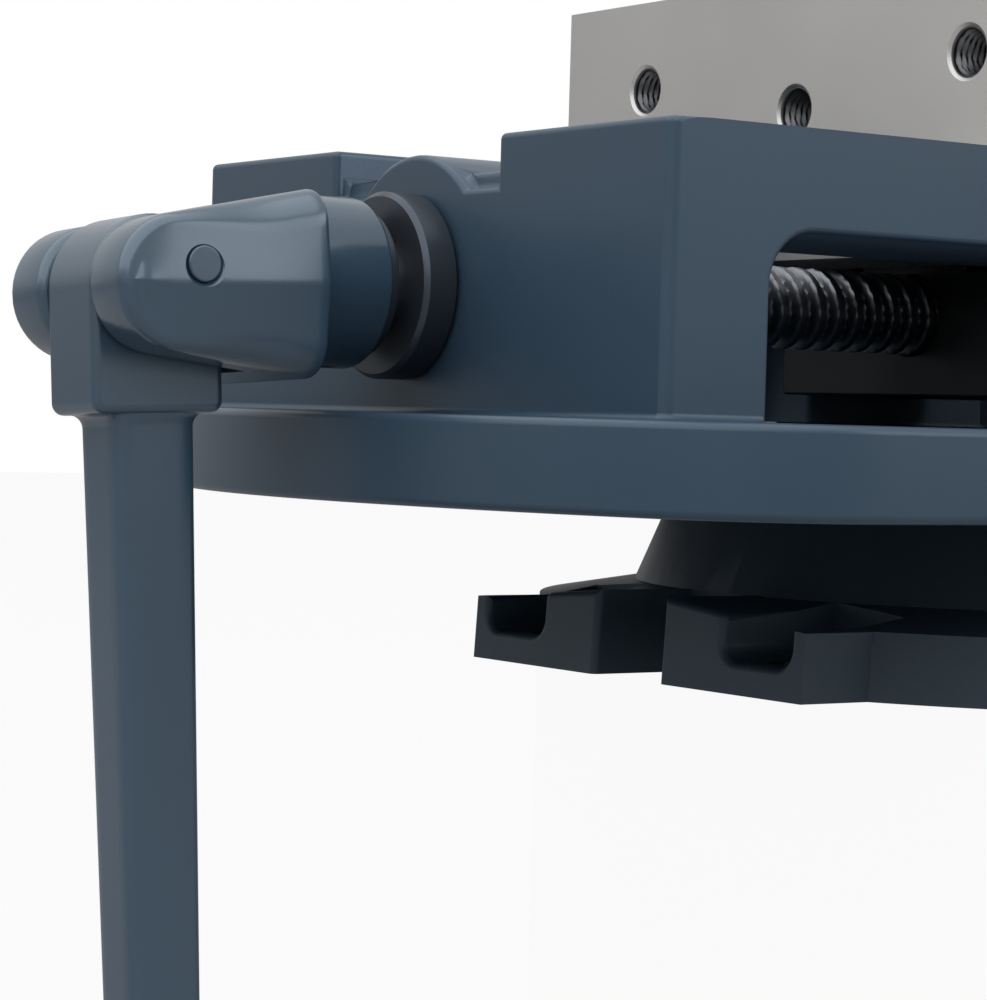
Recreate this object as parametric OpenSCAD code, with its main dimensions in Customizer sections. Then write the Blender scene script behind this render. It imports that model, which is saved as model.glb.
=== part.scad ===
// Angle-lock machine vise on a swivel base, worked by a folding crank.
// The origin is where the swivel axis meets the underside of the base,
// +X runs along the lead screw towards the fixed jaw, and +Z is up.
// Lengths are in millimetres, and the jaws stand partly open.

/* [Bed] */
// Width of the bed and of both jaws
bed_w = 160; // [150:1:176]
// Length of the bed, front face to rear face
bed_len = 330; // [322:1:350]
// Height of the ways above the flange
bed_h = 51.2; // [50:0.2:60]
// Thickness of the flange under the bed
flange_t = 16.5; // [14:0.5:22]
// How far the curved ends of the flange reach past the bed
flange_over = 25; // [16:1:30]
// Width of the flange
flange_w = 210; // [200:1:230]
// Radius of the four corners of the flange
flange_corner_r = 40; // [30:1:66]
// Width of the slot between the ways
slot_w = 56.8; // [54:0.2:62]
// Thickness of the ways over the hollow of the bed
way_t = 18.2; // [14:0.2:20]
// Thickness of the side walls
wall_t = 14; // [10:0.5:17]
// Thickness of the front wall
front_wall = 19; // [14:1:22]
// Thickness of the rear wall
rear_wall = 40; // [34:1:50]
// Radius of the round boss in the front wall
boss_r = 25; // [20:0.5:26]
// Length of the boss
boss_len = 24; // [22:1:30]
// How far the webs beside the boss lie below the ways
web_drop = 6.4; // [4:0.2:9]
// Depth of the low lip in front of each web
lip_depth = 3; // [2:0.5:5]
// How far the lip lies below the web
lip_drop = 3.3; // [2:0.1:5]
// Front face to the start of the side windows
window_start = 22.5; // [20:0.5:30]
// Length of the side windows
window_len = 97.5; // [80:0.5:100]
// Radius of the top corners of the windows and clamp pockets
window_r = 9.5; // [5:0.5:12]

/* [Swivel base] */
// Height of the swivel base
base_h = 35.5; // [34:0.5:42]
// Height of its foot plate where the turntable's cone starts
plate_h = 17; // [16:0.5:18]
// Height of the foot plate at its rim
plate_rim_h = 13.3; // [12:0.1:15]
// Radius of the foot plate
plate_r = 109.5; // [106:0.5:111]
// Radius of the round turntable at its top
turntable_r = 80; // [79:0.5:84]
// Radius where the turntable's cone meets the foot plate
cone_foot_r = 88; // [85:0.5:90]
// Distance from the swivel axis to the end of each lug
lug_reach = 111.5; // [109:0.5:118]
// Width of the gap between a pair of lugs
lug_gap = 21.8; // [18:0.2:26]
// Depth of that gap, from the end of the lugs
lug_gap_depth = 24; // [20:1:28]
// Width of each lug
lug_w = 43.4; // [42:0.2:48]
// Distance of the bolt slots from the middle line
lug_slot_y = 40; // [39:0.5:41]
// Width of the groove in the top of each lug
groove_w = 20.4; // [18:0.2:21]
// Height of the groove's floor above the table
groove_z = 6; // [5.5:0.1:7.5]
// Width of the bolt slot through each groove
bolt_slot_w = 12; // [10.5:0.5:14]
// Length of the bolt slot, end to end
bolt_slot_len = 22; // [18:0.5:24]
// Mean radius of the ring slot for the clamp bolts
ring_r = 66; // [65:0.5:67]
// Radius of the swivel pivot
pivot_r = 20; // [16:0.5:24]

/* [Jaws] */
// Height of the jaws above the ways
jaw_h = 40.5; // [38:0.5:46]
// Front face of the bed to the rear face of the movable jaw
jaw_rest = 92.8; // [84:0.2:94]
// Length of the movable jaw
movable_len = 80; // [78:1:86]
// Length of the fixed jaw
fixed_len = 55; // [50:1:58]
// Thickness of the jaw plates
plate_t = 16; // [14:0.5:18]
// Distance between the two plate screws of a jaw
plate_screw_gap = 102.4; // [90:0.2:120]
// Height of the plate screws above the ways
plate_screw_h = 21.2; // [18:0.2:24]
// Height of the set screw in the rear face above the ways
set_screw_h = 13.3; // [12:0.1:15]
// Radius of the jaw threads
jaw_thread_r = 5; // [4:0.25:5.5]

/* [Lead screw] */
// Height of the screw axis above the flange
screw_h = 23.8; // [23:0.1:24.5]
// Outer radius of the screw thread
screw_r = 8.5; // [7.5:0.25:9.5]
// Radius of the journal at the rear end
rear_journal_r = 6; // [5:0.25:7]
// Radius of the thrust collar in front of the bed
collar_r = 17.6; // [14:0.2:20]
// Length of the thrust collar
collar_len = 7.5; // [6:0.5:8.5]
// Diameter of the thrust balls
ball_d = 5; // [4:0.5:5]
// Number of thrust balls
ball_count = 12; // [8:1:12]

/* [Crank] */
// Front face of the bed to the end of the hub's neck
hub_gap = 13.3; // [12:0.1:18]
// Radius of the hub's neck
neck_r = 16; // [13.5:0.1:17]
// Length of the neck
neck_len = 14; // [12:0.5:18]
// Width of the fork
fork_w = 48; // [44:1:54]
// Height of the fork where it leaves the neck
fork_h = 34; // [30:1:40]
// Radius of the fork's round nose
nose_r = 12.1; // [11:0.1:14]
// How far the nose lies below the screw axis
nose_low = 3.2; // [0:0.1:5]
// Distance from the front face of the bed to the hinge pin
pin_reach = 57; // [56:0.5:62]
// Radius of the hinge pin
pin_r = 3.2; // [2.5:0.1:4]
// Width of the arm's knuckle between the cheeks
knuckle_w = 18.2; // [16:0.2:22]
// Radius of the knuckle's round top
knuckle_r = 12.9; // [11:0.1:14]
// Depth of the knuckle block below the pin
knuckle_drop = 25.4; // [20:0.2:30]
// Distance from the screw axis to the grip axis
crank_r = 170; // [150:1:200]
// Angle of the crank about the screw axis, in degrees
crank_turn = -2.2; // [-6:0.1:6]
// Lean of the arm about the hinge pin, in degrees
arm_lean = 2; // [0:0.1:3]
// Length of the grip
grip_len = 92; // [80:1:110]
// Largest radius of the grip
grip_r = 15; // [13:0.5:18]

/* [Hidden] */
$fn = 96;

// Clearances: a running fit, flat sliding faces, a loose side gap and a static seat
run_fit = 0.05;
slide_fit = 0.1;
side_gap = 0.15;
seat_fit = 0.02;
// How far a cut runs past the face that it opens
cut = 1;

// Colours
paint = "#46586a";
dark_paint = "#27323b";
steel = "#8b8986";
black_steel = "#24262b";
bright_steel = "#b4b6b8";
bronze = "#b08a4a";
black_plastic = "#1b1c1f";

// Levels and stations
flange_z = base_h + run_fit;
floor_z = flange_z + flange_t;
way_z = floor_z + bed_h;
roof_z = way_z - way_t;
screw_z = floor_z + screw_h;
jaw_top = way_z + jaw_h;
front_x = -bed_len / 2;
rear_x = bed_len / 2;
flange_r = bed_len / 2 + flange_over;
hollow_front = front_x + front_wall;
hollow_rear = rear_x - rear_wall;
hollow_w = bed_w - 2 * wall_t;

// Clamp bolts on the ring slot
t_bolt_r = 6;
t_bolt_fit = 0.6;
t_head_w = 20;
t_head_h = 8;
ring_neck_w = 13.2;
ring_head_w = 22;
ring_head_h = 9;
ring_neck_h = 8;
entry_r = 12.5;
clamp_washer_r = 12;
clamp_washer_t = 2.5;
clamp_nut_af = 18;
clamp_nut_h = 10;
clamp_bolt_over = 4;
pocket_w = 42;
pocket_gap = 2;
pocket_in = ring_r - clamp_washer_r - pocket_gap;
pocket_depth = bed_w / 2 - pocket_in;
pocket_skin = 6;

// Pivot
pivot_sink = 21.5;
pivot_washer_lip = 7;
pivot_washer_r = pivot_r + pivot_washer_lip;
pivot_washer_t = 3.5;
pivot_recess_d = 4;
pivot_screw_r = 5;
pivot_screw_len = 18;
pivot_head_r = 8;
pivot_head_h = 5.2;
pivot_hex_af = 6;
pivot_top = floor_z - pivot_recess_d + slide_fit;

// Foot plate details
plate_draft = 0.9;
lug_draft = 2;
groove_r = 4;
groove_reach = 30;
bolt_slot_inset = 7;
key_slot_w = 16;
key_slot_d = 5;
key_slot_len = 32;
gap_end = lug_reach - lug_gap_depth;
lug_outer_h = 13.2;
lug_inner_h = 17.2;

// Screw train, along the screw axis
thrust_race_t = 2.5;
race_in_r = screw_r + run_fit;
race_out_r = 17;
ball_ring_r = 13.4;
ball_sink = 0.05;
shoulder_r = 15;
shoulder_len = 5;
bush_t = 3.5;
race_x = front_x + boss_len;
ball_x = race_x + thrust_race_t;
turning_race_x = ball_x + ball_d;
shoulder_x = turning_race_x + thrust_race_t;
rear_bush_len = 20;
rear_journal_len = 49;
rear_bore_len = rear_bush_len;
journal_end_gap = 1;
journal_x = hollow_rear + rear_bore_len - journal_end_gap - rear_journal_len;
collar_gap = 0.2;
collar_x = front_x - collar_gap - collar_len;
collar_chamfer = 0.9;
hub_washer_t = 2.1;
hub_washer_r = 14;
hex_af = 14;
hex_fit = 0.1;
hex_depth = 15.7;

// Crank
hub_x = front_x - hub_gap;
fork_x = hub_x - neck_len;
fork_step = 4.5;
fork_low = 1.9;
pin_x = front_x - pin_reach;
nose_back = 3.4;
nose_x = pin_x - nose_back - nose_r;
fork_edge_r = 10;
hull_fn = 32;
fork_slot_gap = 0.5;
neck_chamfer = 1.2;
grub_r = 3;
grub_len = 6;
small_grub_r = 2.5;
knuckle_low = 3;
arm_back = 1.6;
lever_top = [16.5, 15.5];
lever_end = [13.6, 12.7];
lever_edge_r = 3.4;
slab = 0.2;
eye_r = 13;
eye_len = 18;
spindle_r = 5;
spindle_head_r = 8;
spindle_head_h = 5;
grip_gap = 0.3;
grip_neck_r = 11;
grip_end_r = 12.5;
grip_waist_share = 0.18;
grip_belly_share = 0.62;
grip_edge_r = 3;

// Jaws
way_fit = 0.05;
jaw_x = front_x + jaw_rest;
movable_face = jaw_x + movable_len + plate_t;
fixed_x = rear_x - fixed_len;
fixed_face = fixed_x - plate_t;
jaw_mid_chamfer = 0.6;
tongue_h = 17.2;
tongue_in = 4;
horn_back = 34;
horn_base = 10;
horn_rise = 23.1;
horn_top = 37.1;
horn_w = 32;
horn_play = 1;
horn_rear_play = 3;
segment_r = 8;
segment_share = 0.52;
nut_len = 50;
nut_side_gap = 4;
nut_w = 2 * (pocket_in - pocket_skin - nut_side_gap);
nut_floor = 6.5;
cap_r = 8;
cap_h = 10;
cap_sink = 0.6;
cap_fit = 0.5;
cap_hex_af = 8;
cap_hex_d = 5;
cap_len = 26;
plate_thread_len = 24;
rear_thread_len = 26;
shank_fit = 0.05;
set_screw_len = 16;
set_hex_af = 5;
set_hex_d = 5;
big_cap_r = 9;
big_cap_h = 12;
big_shank_r = 6;
big_shank_len = 46;
big_hex_af = 10;
big_hex_d = 6;
big_cap_y = 30;
big_cap_inset = 20;
big_cap_x = rear_x - big_cap_inset;
big_cap_z = jaw_top - big_cap_h - cap_sink;
key_w = 10;
key_h = 8;
key_len = 44;
key_inset = 11;
key_x = fixed_x + key_inset;
key_y = 54;
fixed_tongue_h = 14;
fixed_tongue_in = 1.5;

// A round bar along X that starts at x
module x_bar(x, r, len) {
    translate([x, 0, 0]) rotate([0, 90, 0]) cylinder(r = r, h = len);
}

// A round bar along Y, centred on the middle plane
module y_bar(r, len) {
    rotate([90, 0, 0]) cylinder(r = r, h = len, center = true);
}

// A ring along X that starts at x
module x_ring(x, r_out, r_in, len) {
    difference() {
        x_bar(x, r_out, len);
        x_bar(x - cut, r_in, len + 2 * cut);
    }
}

// A hexagonal bar along Z, given by its width across flats, with two flats square to X
module hex_bar(af, len) {
    rotate([0, 0, 30]) cylinder(r = af / 2 / cos(30), h = len, $fn = 6);
}

// A cap screw with its head up and the underside of the head at z = 0
module cap_screw(shank_r, shank_len, head_r, head_h, hex_w, hex_d) {
    difference() {
        union() {
            cylinder(r = head_r, h = head_h);
            translate([0, 0, -shank_len]) cylinder(r = shank_r, h = shank_len + cut);
        }
        translate([0, 0, head_h - hex_d]) hex_bar(hex_w, hex_d + cut);
    }
}

// A window outline that stands on the floor and has round top corners
module arch_window(w, h, r) {
    union() {
        translate([0, -cut]) square([w, h - r + cut]);
        translate([r, 0]) square([w - 2 * r, h]);
        for (x = [r, w - r]) translate([x, h - r]) circle(r = r);
    }
}

// An upright wall of the window outline, from x and y, as thick as d along Y
module arch_cut(x, y, d, w, h, r) {
    translate([x, y + d, floor_z]) rotate([90, 0, 0]) linear_extrude(height = d) arch_window(w, h, r);
}

// Outline of the flange: a disc cut by two straight sides, with tangent corner arcs
module flange_outline() {
    half_w = flange_w / 2;
    cy = half_w - flange_corner_r;
    cx = sqrt(pow(flange_r - flange_corner_r, 2) - cy * cy);
    reach = flange_r / (flange_r - flange_corner_r);
    difference() {
        intersection() {
            circle(r = flange_r, $fn = 180);
            square([2 * flange_r, flange_w], center = true);
        }
        for (sx = [-1, 1], sy = [-1, 1]) {
            polygon([[sx * cx, sy * cy], [sx * cx * reach, sy * cy * reach],
                [sx * flange_r, sy * cy * reach], [sx * flange_r, sy * flange_w], [sx * cx, sy * flange_w]]);
        }
    }
    for (sx = [-1, 1], sy = [-1, 1]) {
        translate([sx * cx, sy * cy]) circle(r = flange_corner_r, $fn = 180);
    }
}

// Everything at the clamp bolts repeats on both sides of the bed
module both_clamps() {
    for (side = [-1, 1]) translate([0, side * ring_r, 0]) children();
}

// Hollow of the bed under the ways, less the skins round the clamp pockets
module bed_hollow() {
    difference() {
        translate([hollow_front, -hollow_w / 2, floor_z]) {
            cube([hollow_rear - hollow_front, hollow_w, roof_z - floor_z]);
        }
        for (side = [-1, 1]) translate([0, side * bed_w / 2, floor_z - cut + bed_h / 2]) {
            cube([pocket_w + 2 * pocket_skin, 2 * (pocket_depth + pocket_skin), bed_h], center = true);
        }
        x_at_screw() x_bar(front_x, boss_r, boss_len);
    }
}

// Moves a piece that is drawn about the X axis up to the screw axis
module x_at_screw() {
    translate([0, 0, screw_z]) children();
}

// Turns what is drawn with the crank straight down to where the crank stands
module crank_turned() {
    x_at_screw() rotate([crank_turn, 0, 0]) children();
}

// Frame of the arm: its origin is on the hinge pin, and the arm runs down along -Z
module arm_frame() {
    crank_turned() translate([pin_x, 0, 0]) rotate([0, -arm_lean, 0]) children();
}

// Frame of the grip: its origin is in the middle of the arm's eye, and the grip runs along -X
module eye_frame() {
    arm_frame() translate([-arm_back, 0, -crank_r]) children();
}

// Slot between the ways, with the web and its low lip beside the boss
module bed_slot() {
    translate([hollow_front, -slot_w / 2, roof_z - cut]) {
        cube([hollow_rear - hollow_front, slot_w, way_t + 2 * cut]);
    }
    translate([front_x - cut, -slot_w / 2, way_z - web_drop]) {
        cube([front_wall + 2 * cut, slot_w, web_drop + cut]);
    }
    translate([front_x - cut, -slot_w / 2, way_z - web_drop - lip_drop]) {
        cube([lip_depth + cut, slot_w, web_drop + lip_drop + cut]);
    }
}

module bed() {
    color(paint) difference() {
        union() {
            translate([0, 0, flange_z]) linear_extrude(height = flange_t) flange_outline();
            translate([front_x, -bed_w / 2, flange_z]) cube([bed_len, bed_w, flange_t + bed_h]);
        }
        bed_hollow();
        difference() {
            bed_slot();
            x_at_screw() x_bar(front_x, boss_r, boss_len);
        }
        for (side = [0, 1]) {
            arch_cut(front_x + window_start, side * (bed_w - wall_t) - bed_w / 2 - cut * (1 - side),
                wall_t + cut, window_len, bed_h - way_t, window_r);
            arch_cut(-pocket_w / 2, side * (bed_w - pocket_depth) - bed_w / 2 - cut * (1 - side),
                pocket_depth + cut, pocket_w, bed_h - way_t, window_r);
        }
        x_at_screw() x_bar(front_x - cut, screw_r + run_fit + bush_t, boss_len + 2 * cut);
        x_at_screw() x_bar(hollow_rear - cut, rear_journal_r + run_fit + bush_t, rear_bore_len + cut);
        translate([0, 0, flange_z - cut]) cylinder(r = pivot_r + run_fit, h = flange_t + 2 * cut);
        translate([0, 0, floor_z - pivot_recess_d]) {
            cylinder(r = pivot_washer_r + side_gap, h = pivot_recess_d + cut);
        }
        both_clamps() translate([0, 0, flange_z - cut]) {
            cylinder(r = t_bolt_r + t_bolt_fit, h = flange_t + 2 * cut);
        }
        for (side = [-1, 1]) {
            translate([big_cap_x, side * big_cap_y, big_cap_z - big_shank_len]) {
                cylinder(r = big_shank_r + seat_fit, h = bed_h);
            }
            translate([key_x, side * key_y, way_z]) {
                cube([key_w + 2 * seat_fit, key_len + 2 * seat_fit, key_h], center = true);
            }
        }
    }
}

// Round-bottomed groove in the top of a lug, open at the lug's end
module lug_groove() {
    translate([0, 0, groove_z]) rotate([90, 0, 90]) linear_extrude(height = groove_reach) union() {
        translate([-groove_w / 2, groove_r]) square([groove_w, plate_h]);
        translate([-groove_w / 2 + groove_r, 0]) square([groove_w - 2 * groove_r, plate_h]);
        for (side = [-1, 1]) translate([side * (groove_w / 2 - groove_r), groove_r]) circle(r = groove_r);
    }
}

// Straight slot with round ends along X, centred on the origin
module bolt_slot() {
    run = bolt_slot_len - bolt_slot_w;
    translate([0, 0, -cut]) linear_extrude(height = plate_h + 2 * cut) union() {
        square([run, bolt_slot_w], center = true);
        for (side = [-1, 1]) translate([side * run / 2, 0]) circle(d = bolt_slot_w);
    }
}

// The pair of lugs at the front end: tops that fall away outwards, and draft on their end faces
module lug_pair() {
    outer = lug_gap / 2 + lug_w;
    intersection() {
        translate([0, outer, 0]) rotate([90, 0, 0]) linear_extrude(height = 2 * outer) {
            polygon([[0, 0], [-lug_reach, 0], [-lug_reach + lug_draft, base_h], [0, base_h]]);
        }
        translate([-lug_reach, 0, 0]) rotate([90, 0, 90]) linear_extrude(height = lug_reach) {
            for (side = [-1, 1]) polygon([[side * lug_gap / 2, 0], [side * outer, 0],
                [side * outer, lug_outer_h], [side * lug_gap / 2, lug_inner_h]]);
        }
    }
}

// T-shaped ring slot that the clamp bolts run in, with its entry hole
module ring_slot() {
    rotate_extrude($fn = 180) union() {
        translate([ring_r - ring_neck_w / 2, base_h - ring_neck_h - cut]) {
            square([ring_neck_w, ring_neck_h + 2 * cut]);
        }
        translate([ring_r - ring_head_w / 2, base_h - ring_neck_h - ring_head_h]) {
            square([ring_head_w, ring_head_h]);
        }
    }
    translate([ring_r, 0, base_h - ring_neck_h - ring_head_h]) cylinder(r = entry_r, h = base_h);
}

module swivel_base() {
    color(dark_paint) difference() {
        union() {
            cylinder(r1 = plate_r, r2 = plate_r - plate_draft, h = plate_rim_h);
            translate([0, 0, plate_rim_h]) {
                cylinder(r1 = plate_r - plate_draft, r2 = cone_foot_r, h = plate_h - plate_rim_h);
            }
            for (end = [0, 180]) rotate([0, 0, end]) lug_pair();
            translate([0, 0, plate_h - cut]) {
                cylinder(r1 = cone_foot_r, r2 = turntable_r, h = base_h - plate_h + cut);
            }
        }
        for (end = [0, 180]) rotate([0, 0, end]) {
            translate([-lug_reach - cut, -lug_gap / 2, -cut]) {
                cube([lug_gap_depth + cut, lug_gap, plate_h + 2 * cut]);
            }
            for (side = [-1, 1]) translate([0, side * lug_slot_y, 0]) {
                translate([-lug_reach - cut, 0, 0]) lug_groove();
                translate([-lug_reach + bolt_slot_inset + bolt_slot_len / 2, 0, 0]) bolt_slot();
            }
            translate([-gap_end - cut, -key_slot_w / 2, -cut]) {
                cube([key_slot_len + cut, key_slot_w, key_slot_d + cut]);
            }
        }
        ring_slot();
        translate([0, 0, base_h - pivot_sink]) cylinder(r = pivot_r + seat_fit, h = pivot_sink + cut);
    }
}

module swivel_pivot() {
    bottom = base_h - pivot_sink;
    color(bright_steel) difference() {
        translate([0, 0, bottom]) cylinder(r = pivot_r, h = pivot_top - bottom);
        translate([0, 0, pivot_top - pivot_screw_len - cut]) {
            cylinder(r = pivot_screw_r + seat_fit, h = pivot_screw_len + 2 * cut);
        }
    }
}

module pivot_washer() {
    color(bright_steel) translate([0, 0, pivot_top]) difference() {
        cylinder(r = pivot_washer_r, h = pivot_washer_t);
        translate([0, 0, -cut]) cylinder(r = pivot_screw_r + side_gap, h = pivot_washer_t + 2 * cut);
    }
}

module pivot_screw() {
    color(black_steel) translate([0, 0, pivot_top + pivot_washer_t]) {
        cap_screw(pivot_screw_r, pivot_screw_len, pivot_head_r, pivot_head_h, pivot_hex_af, pivot_head_h / 2);
    }
}

module t_bolts() {
    ledge = base_h - ring_neck_h - run_fit;
    top = floor_z + clamp_washer_t + clamp_nut_h + clamp_bolt_over;
    color(black_steel) both_clamps() {
        translate([-t_head_w / 2, -t_head_w / 2, ledge - t_head_h]) cube([t_head_w, t_head_w, t_head_h]);
        translate([0, 0, ledge - cut]) cylinder(r = t_bolt_r, h = top - ledge + cut);
    }
}

module clamp_washers() {
    color(bright_steel) both_clamps() translate([0, 0, floor_z]) difference() {
        cylinder(r = clamp_washer_r, h = clamp_washer_t);
        translate([0, 0, -cut]) cylinder(r = t_bolt_r + side_gap, h = clamp_washer_t + 2 * cut);
    }
}

module clamp_nuts() {
    color(black_steel) both_clamps() translate([0, 0, floor_z + clamp_washer_t]) difference() {
        hex_bar(clamp_nut_af, clamp_nut_h);
        translate([0, 0, -cut]) cylinder(r = t_bolt_r + seat_fit, h = clamp_nut_h + 2 * cut);
    }
}

module front_bush() {
    bore = screw_r + run_fit;
    color(bronze) x_at_screw() x_ring(front_x, bore + bush_t - seat_fit, bore, boss_len);
}

module rear_bush() {
    bore = rear_journal_r + run_fit;
    color(bronze) x_at_screw() x_ring(hollow_rear, bore + bush_t - seat_fit, bore, rear_bush_len);
}

module fixed_race() {
    color(bright_steel) x_at_screw() x_ring(race_x, race_out_r, race_in_r, thrust_race_t);
}

module turning_race() {
    color(bright_steel) x_at_screw() x_ring(turning_race_x, race_out_r, screw_r + seat_fit, thrust_race_t);
}

module thrust_balls() {
    color(bright_steel) x_at_screw() for (i = [0 : ball_count - 1]) {
        rotate([i * 360 / ball_count, 0, 0]) translate([ball_x + ball_d / 2, 0, ball_ring_r]) {
            sphere(r = ball_d / 2 - ball_sink, $fn = 48);
        }
    }
}

// One turned bar: hexagon, front journal, shoulder, threaded length, rear journal
module lead_screw() {
    color(black_steel) crank_turned() {
        translate([hub_x - hex_depth, 0, 0]) rotate([0, 90, 0]) hex_bar(hex_af, hex_depth + cut);
        x_bar(hub_x, screw_r, journal_x - hub_x);
        x_bar(shoulder_x, shoulder_r, shoulder_len);
        x_bar(journal_x - cut, rear_journal_r, rear_journal_len + cut);
    }
}

module screw_collar() {
    color(black_steel) x_at_screw() difference() {
        union() {
            x_bar(collar_x + collar_chamfer, collar_r, collar_len - 2 * collar_chamfer);
            for (x = [collar_x, collar_x + collar_len - collar_chamfer]) {
                grows = x == collar_x;
                translate([x, 0, 0]) rotate([0, 90, 0]) {
                    cylinder(r1 = grows ? collar_r - collar_chamfer : collar_r,
                        r2 = grows ? collar_r : collar_r - collar_chamfer, h = collar_chamfer);
                }
            }
        }
        x_bar(collar_x - cut, screw_r + seat_fit, collar_len + 2 * cut);
        translate([collar_x + collar_len / 2, 0, 0]) rotate([-90, 0, 0]) {
            cylinder(r = small_grub_r + seat_fit, h = collar_r + cut);
        }
    }
}

// A headless set screw along Z with its point at z = 0
module grub(r, len, hex_w, hex_d) {
    difference() {
        cylinder(r = r, h = len);
        translate([0, 0, len - hex_d]) hex_bar(hex_w, hex_d + cut);
    }
}

module collar_set_screw() {
    color(black_steel) x_at_screw() translate([collar_x + collar_len / 2, screw_r + seat_fit, 0]) {
        rotate([-90, 0, 0]) grub(small_grub_r, grub_len, small_grub_r, grub_len / 2);
    }
}

module hub_washer() {
    color(bright_steel) x_at_screw() x_ring(hub_x, hub_washer_r, screw_r + seat_fit, hub_washer_t);
}

// A thin section of the fork with round corners, square to the screw axis
module fork_section(x, half_w, half_h, r) {
    for (sy = [-1, 1], sz = [-1, 1]) {
        translate([x, sy * (half_w - r), sz * (half_h - r) - fork_low]) rotate([0, 90, 0]) {
            cylinder(r = r, h = slab, $fn = hull_fn);
        }
    }
}

module crank_hub() {
    slot_reach = knuckle_r + arm_back + fork_slot_gap;
    color(paint) crank_turned() difference() {
        union() {
            hull() {
                fork_section(fork_x - fork_step - slab, fork_w / 2, fork_h / 2, fork_edge_r);
                translate([pin_x - nose_back, 0, -nose_low]) y_bar(nose_r, fork_w - 2 * slab);
            }
            hull() {
                fork_section(fork_x - fork_step - slab, fork_w / 2, fork_h / 2, fork_edge_r);
                x_bar(fork_x - slab, neck_r, slab);
            }
            x_bar(fork_x - slab, neck_r, neck_len - neck_chamfer + slab);
            translate([hub_x - neck_chamfer, 0, 0]) rotate([0, 90, 0]) {
                cylinder(r1 = neck_r, r2 = neck_r - neck_chamfer, h = neck_chamfer);
            }
        }
        translate([nose_x - cut, -knuckle_w / 2 - side_gap, -fork_h]) {
            cube([pin_x + slot_reach - nose_x + cut, knuckle_w + 2 * side_gap, 2 * fork_h]);
        }
        translate([pin_x, 0, 0]) y_bar(pin_r + seat_fit, fork_w + 2 * cut);
        translate([hub_x - hex_depth - hex_fit, 0, 0]) rotate([0, 90, 0]) {
            hex_bar(hex_af + 2 * hex_fit, hex_depth + hex_fit + cut);
        }
        translate([hub_x - neck_len / 2, 0, 0]) rotate([180, 0, 0]) {
            cylinder(r = grub_r + seat_fit, h = neck_r + cut);
        }
    }
}

module hub_set_screw() {
    color(black_steel) crank_turned() translate([hub_x - neck_len / 2, 0, -hex_af / 2 - hex_fit]) {
        rotate([180, 0, 0]) grub(grub_r, grub_len, grub_r, grub_len / 2);
    }
}

module hinge_pin() {
    color(paint) crank_turned() translate([pin_x, 0, 0]) y_bar(pin_r, fork_w - 2 * slab);
}

// A thin rounded rectangle, square to the lever
module lever_section(z, size) {
    for (sx = [-1, 1], sy = [-1, 1]) {
        translate([sx * (size[0] / 2 - lever_edge_r), sy * (size[1] / 2 - lever_edge_r), z]) {
            cylinder(r = lever_edge_r, h = slab, $fn = hull_fn);
        }
    }
}

module crank_arm() {
    color(paint) arm_frame() difference() {
        translate([-arm_back, 0, 0]) union() {
            translate([0, 0, -knuckle_low]) y_bar(knuckle_r, knuckle_w);
            translate([-knuckle_r, -knuckle_w / 2, -knuckle_drop]) {
                cube([2 * knuckle_r, knuckle_w, knuckle_drop - knuckle_low]);
            }
            hull() {
                lever_section(-knuckle_drop, lever_top);
                lever_section(-crank_r, lever_end);
            }
            translate([0, 0, -crank_r]) x_bar(-eye_len / 2, eye_r, eye_len);
        }
        y_bar(pin_r + run_fit, knuckle_w + 2 * cut);
        translate([-arm_back, 0, -crank_r]) {
            x_bar(-eye_len / 2 - cut, spindle_r + seat_fit, eye_len + 2 * cut);
        }
    }
}

module grip_spindle() {
    len = eye_len + grip_gap + grip_len - spindle_head_h;
    color(bright_steel) eye_frame() translate([eye_len / 2, 0, 0]) rotate([0, -90, 0]) difference() {
        union() {
            cylinder(r = spindle_r, h = len + cut);
            translate([0, 0, len]) cylinder(r = spindle_head_r, h = spindle_head_h);
        }
        translate([0, 0, len + spindle_head_h / 2]) hex_bar(cap_hex_af, spindle_head_h);
    }
}

// Half outline of the grip: a slim neck by the arm, a belly, and a rounded end
module grip_profile() {
    steps = 24;
    edge_turn = 15;
    waist = grip_len * grip_waist_share;
    belly = grip_len * grip_belly_share;
    body = [for (i = [0 : steps]) let (
            z = i * (grip_len - grip_edge_r) / steps,
            rise = (z - waist) / (belly - waist),
            t = z < waist ? 0 : z < belly ? rise : 1 - (z - belly) / (grip_len - belly),
            low = z < belly ? grip_neck_r : grip_end_r)
        [low + (grip_r - low) * (1 - cos(180 * t)) / 2, z]];
    end_r = body[steps][0];
    round_end = [for (a = [edge_turn : edge_turn : 90])
        [end_r - grip_edge_r * (1 - cos(a)), grip_len - grip_edge_r * (1 - sin(a))]];
    polygon(concat([[0, 0]], body, round_end, [[0, grip_len]]));
}

module grip() {
    start = eye_len / 2 + grip_gap;
    color(black_plastic) eye_frame() translate([-start, 0, 0]) rotate([0, -90, 0]) difference() {
        rotate_extrude() grip_profile();
        translate([0, 0, -cut]) cylinder(r = spindle_r + run_fit, h = grip_len + 2 * cut);
        translate([0, 0, grip_len - spindle_head_h - slide_fit]) {
            cylinder(r = spindle_head_r + side_gap, h = spindle_head_h + cut);
        }
    }
}

// Places children at both plate screws, on the plane x, pointing along +X
module at_plate_screws(x) {
    for (side = [-1, 1]) {
        translate([x, side * plate_screw_gap / 2, way_z + plate_screw_h]) rotate([0, 90, 0]) children();
    }
}

// A threaded hole of depth len into a jaw, chamfered at its mouth
module jaw_hole(len) {
    translate([0, 0, -cut]) cylinder(r = jaw_thread_r, h = len + cut);
    translate([0, 0, -jaw_mid_chamfer]) {
        cylinder(r1 = jaw_thread_r + 2 * jaw_mid_chamfer, r2 = jaw_thread_r, h = 2 * jaw_mid_chamfer);
    }
}

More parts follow.
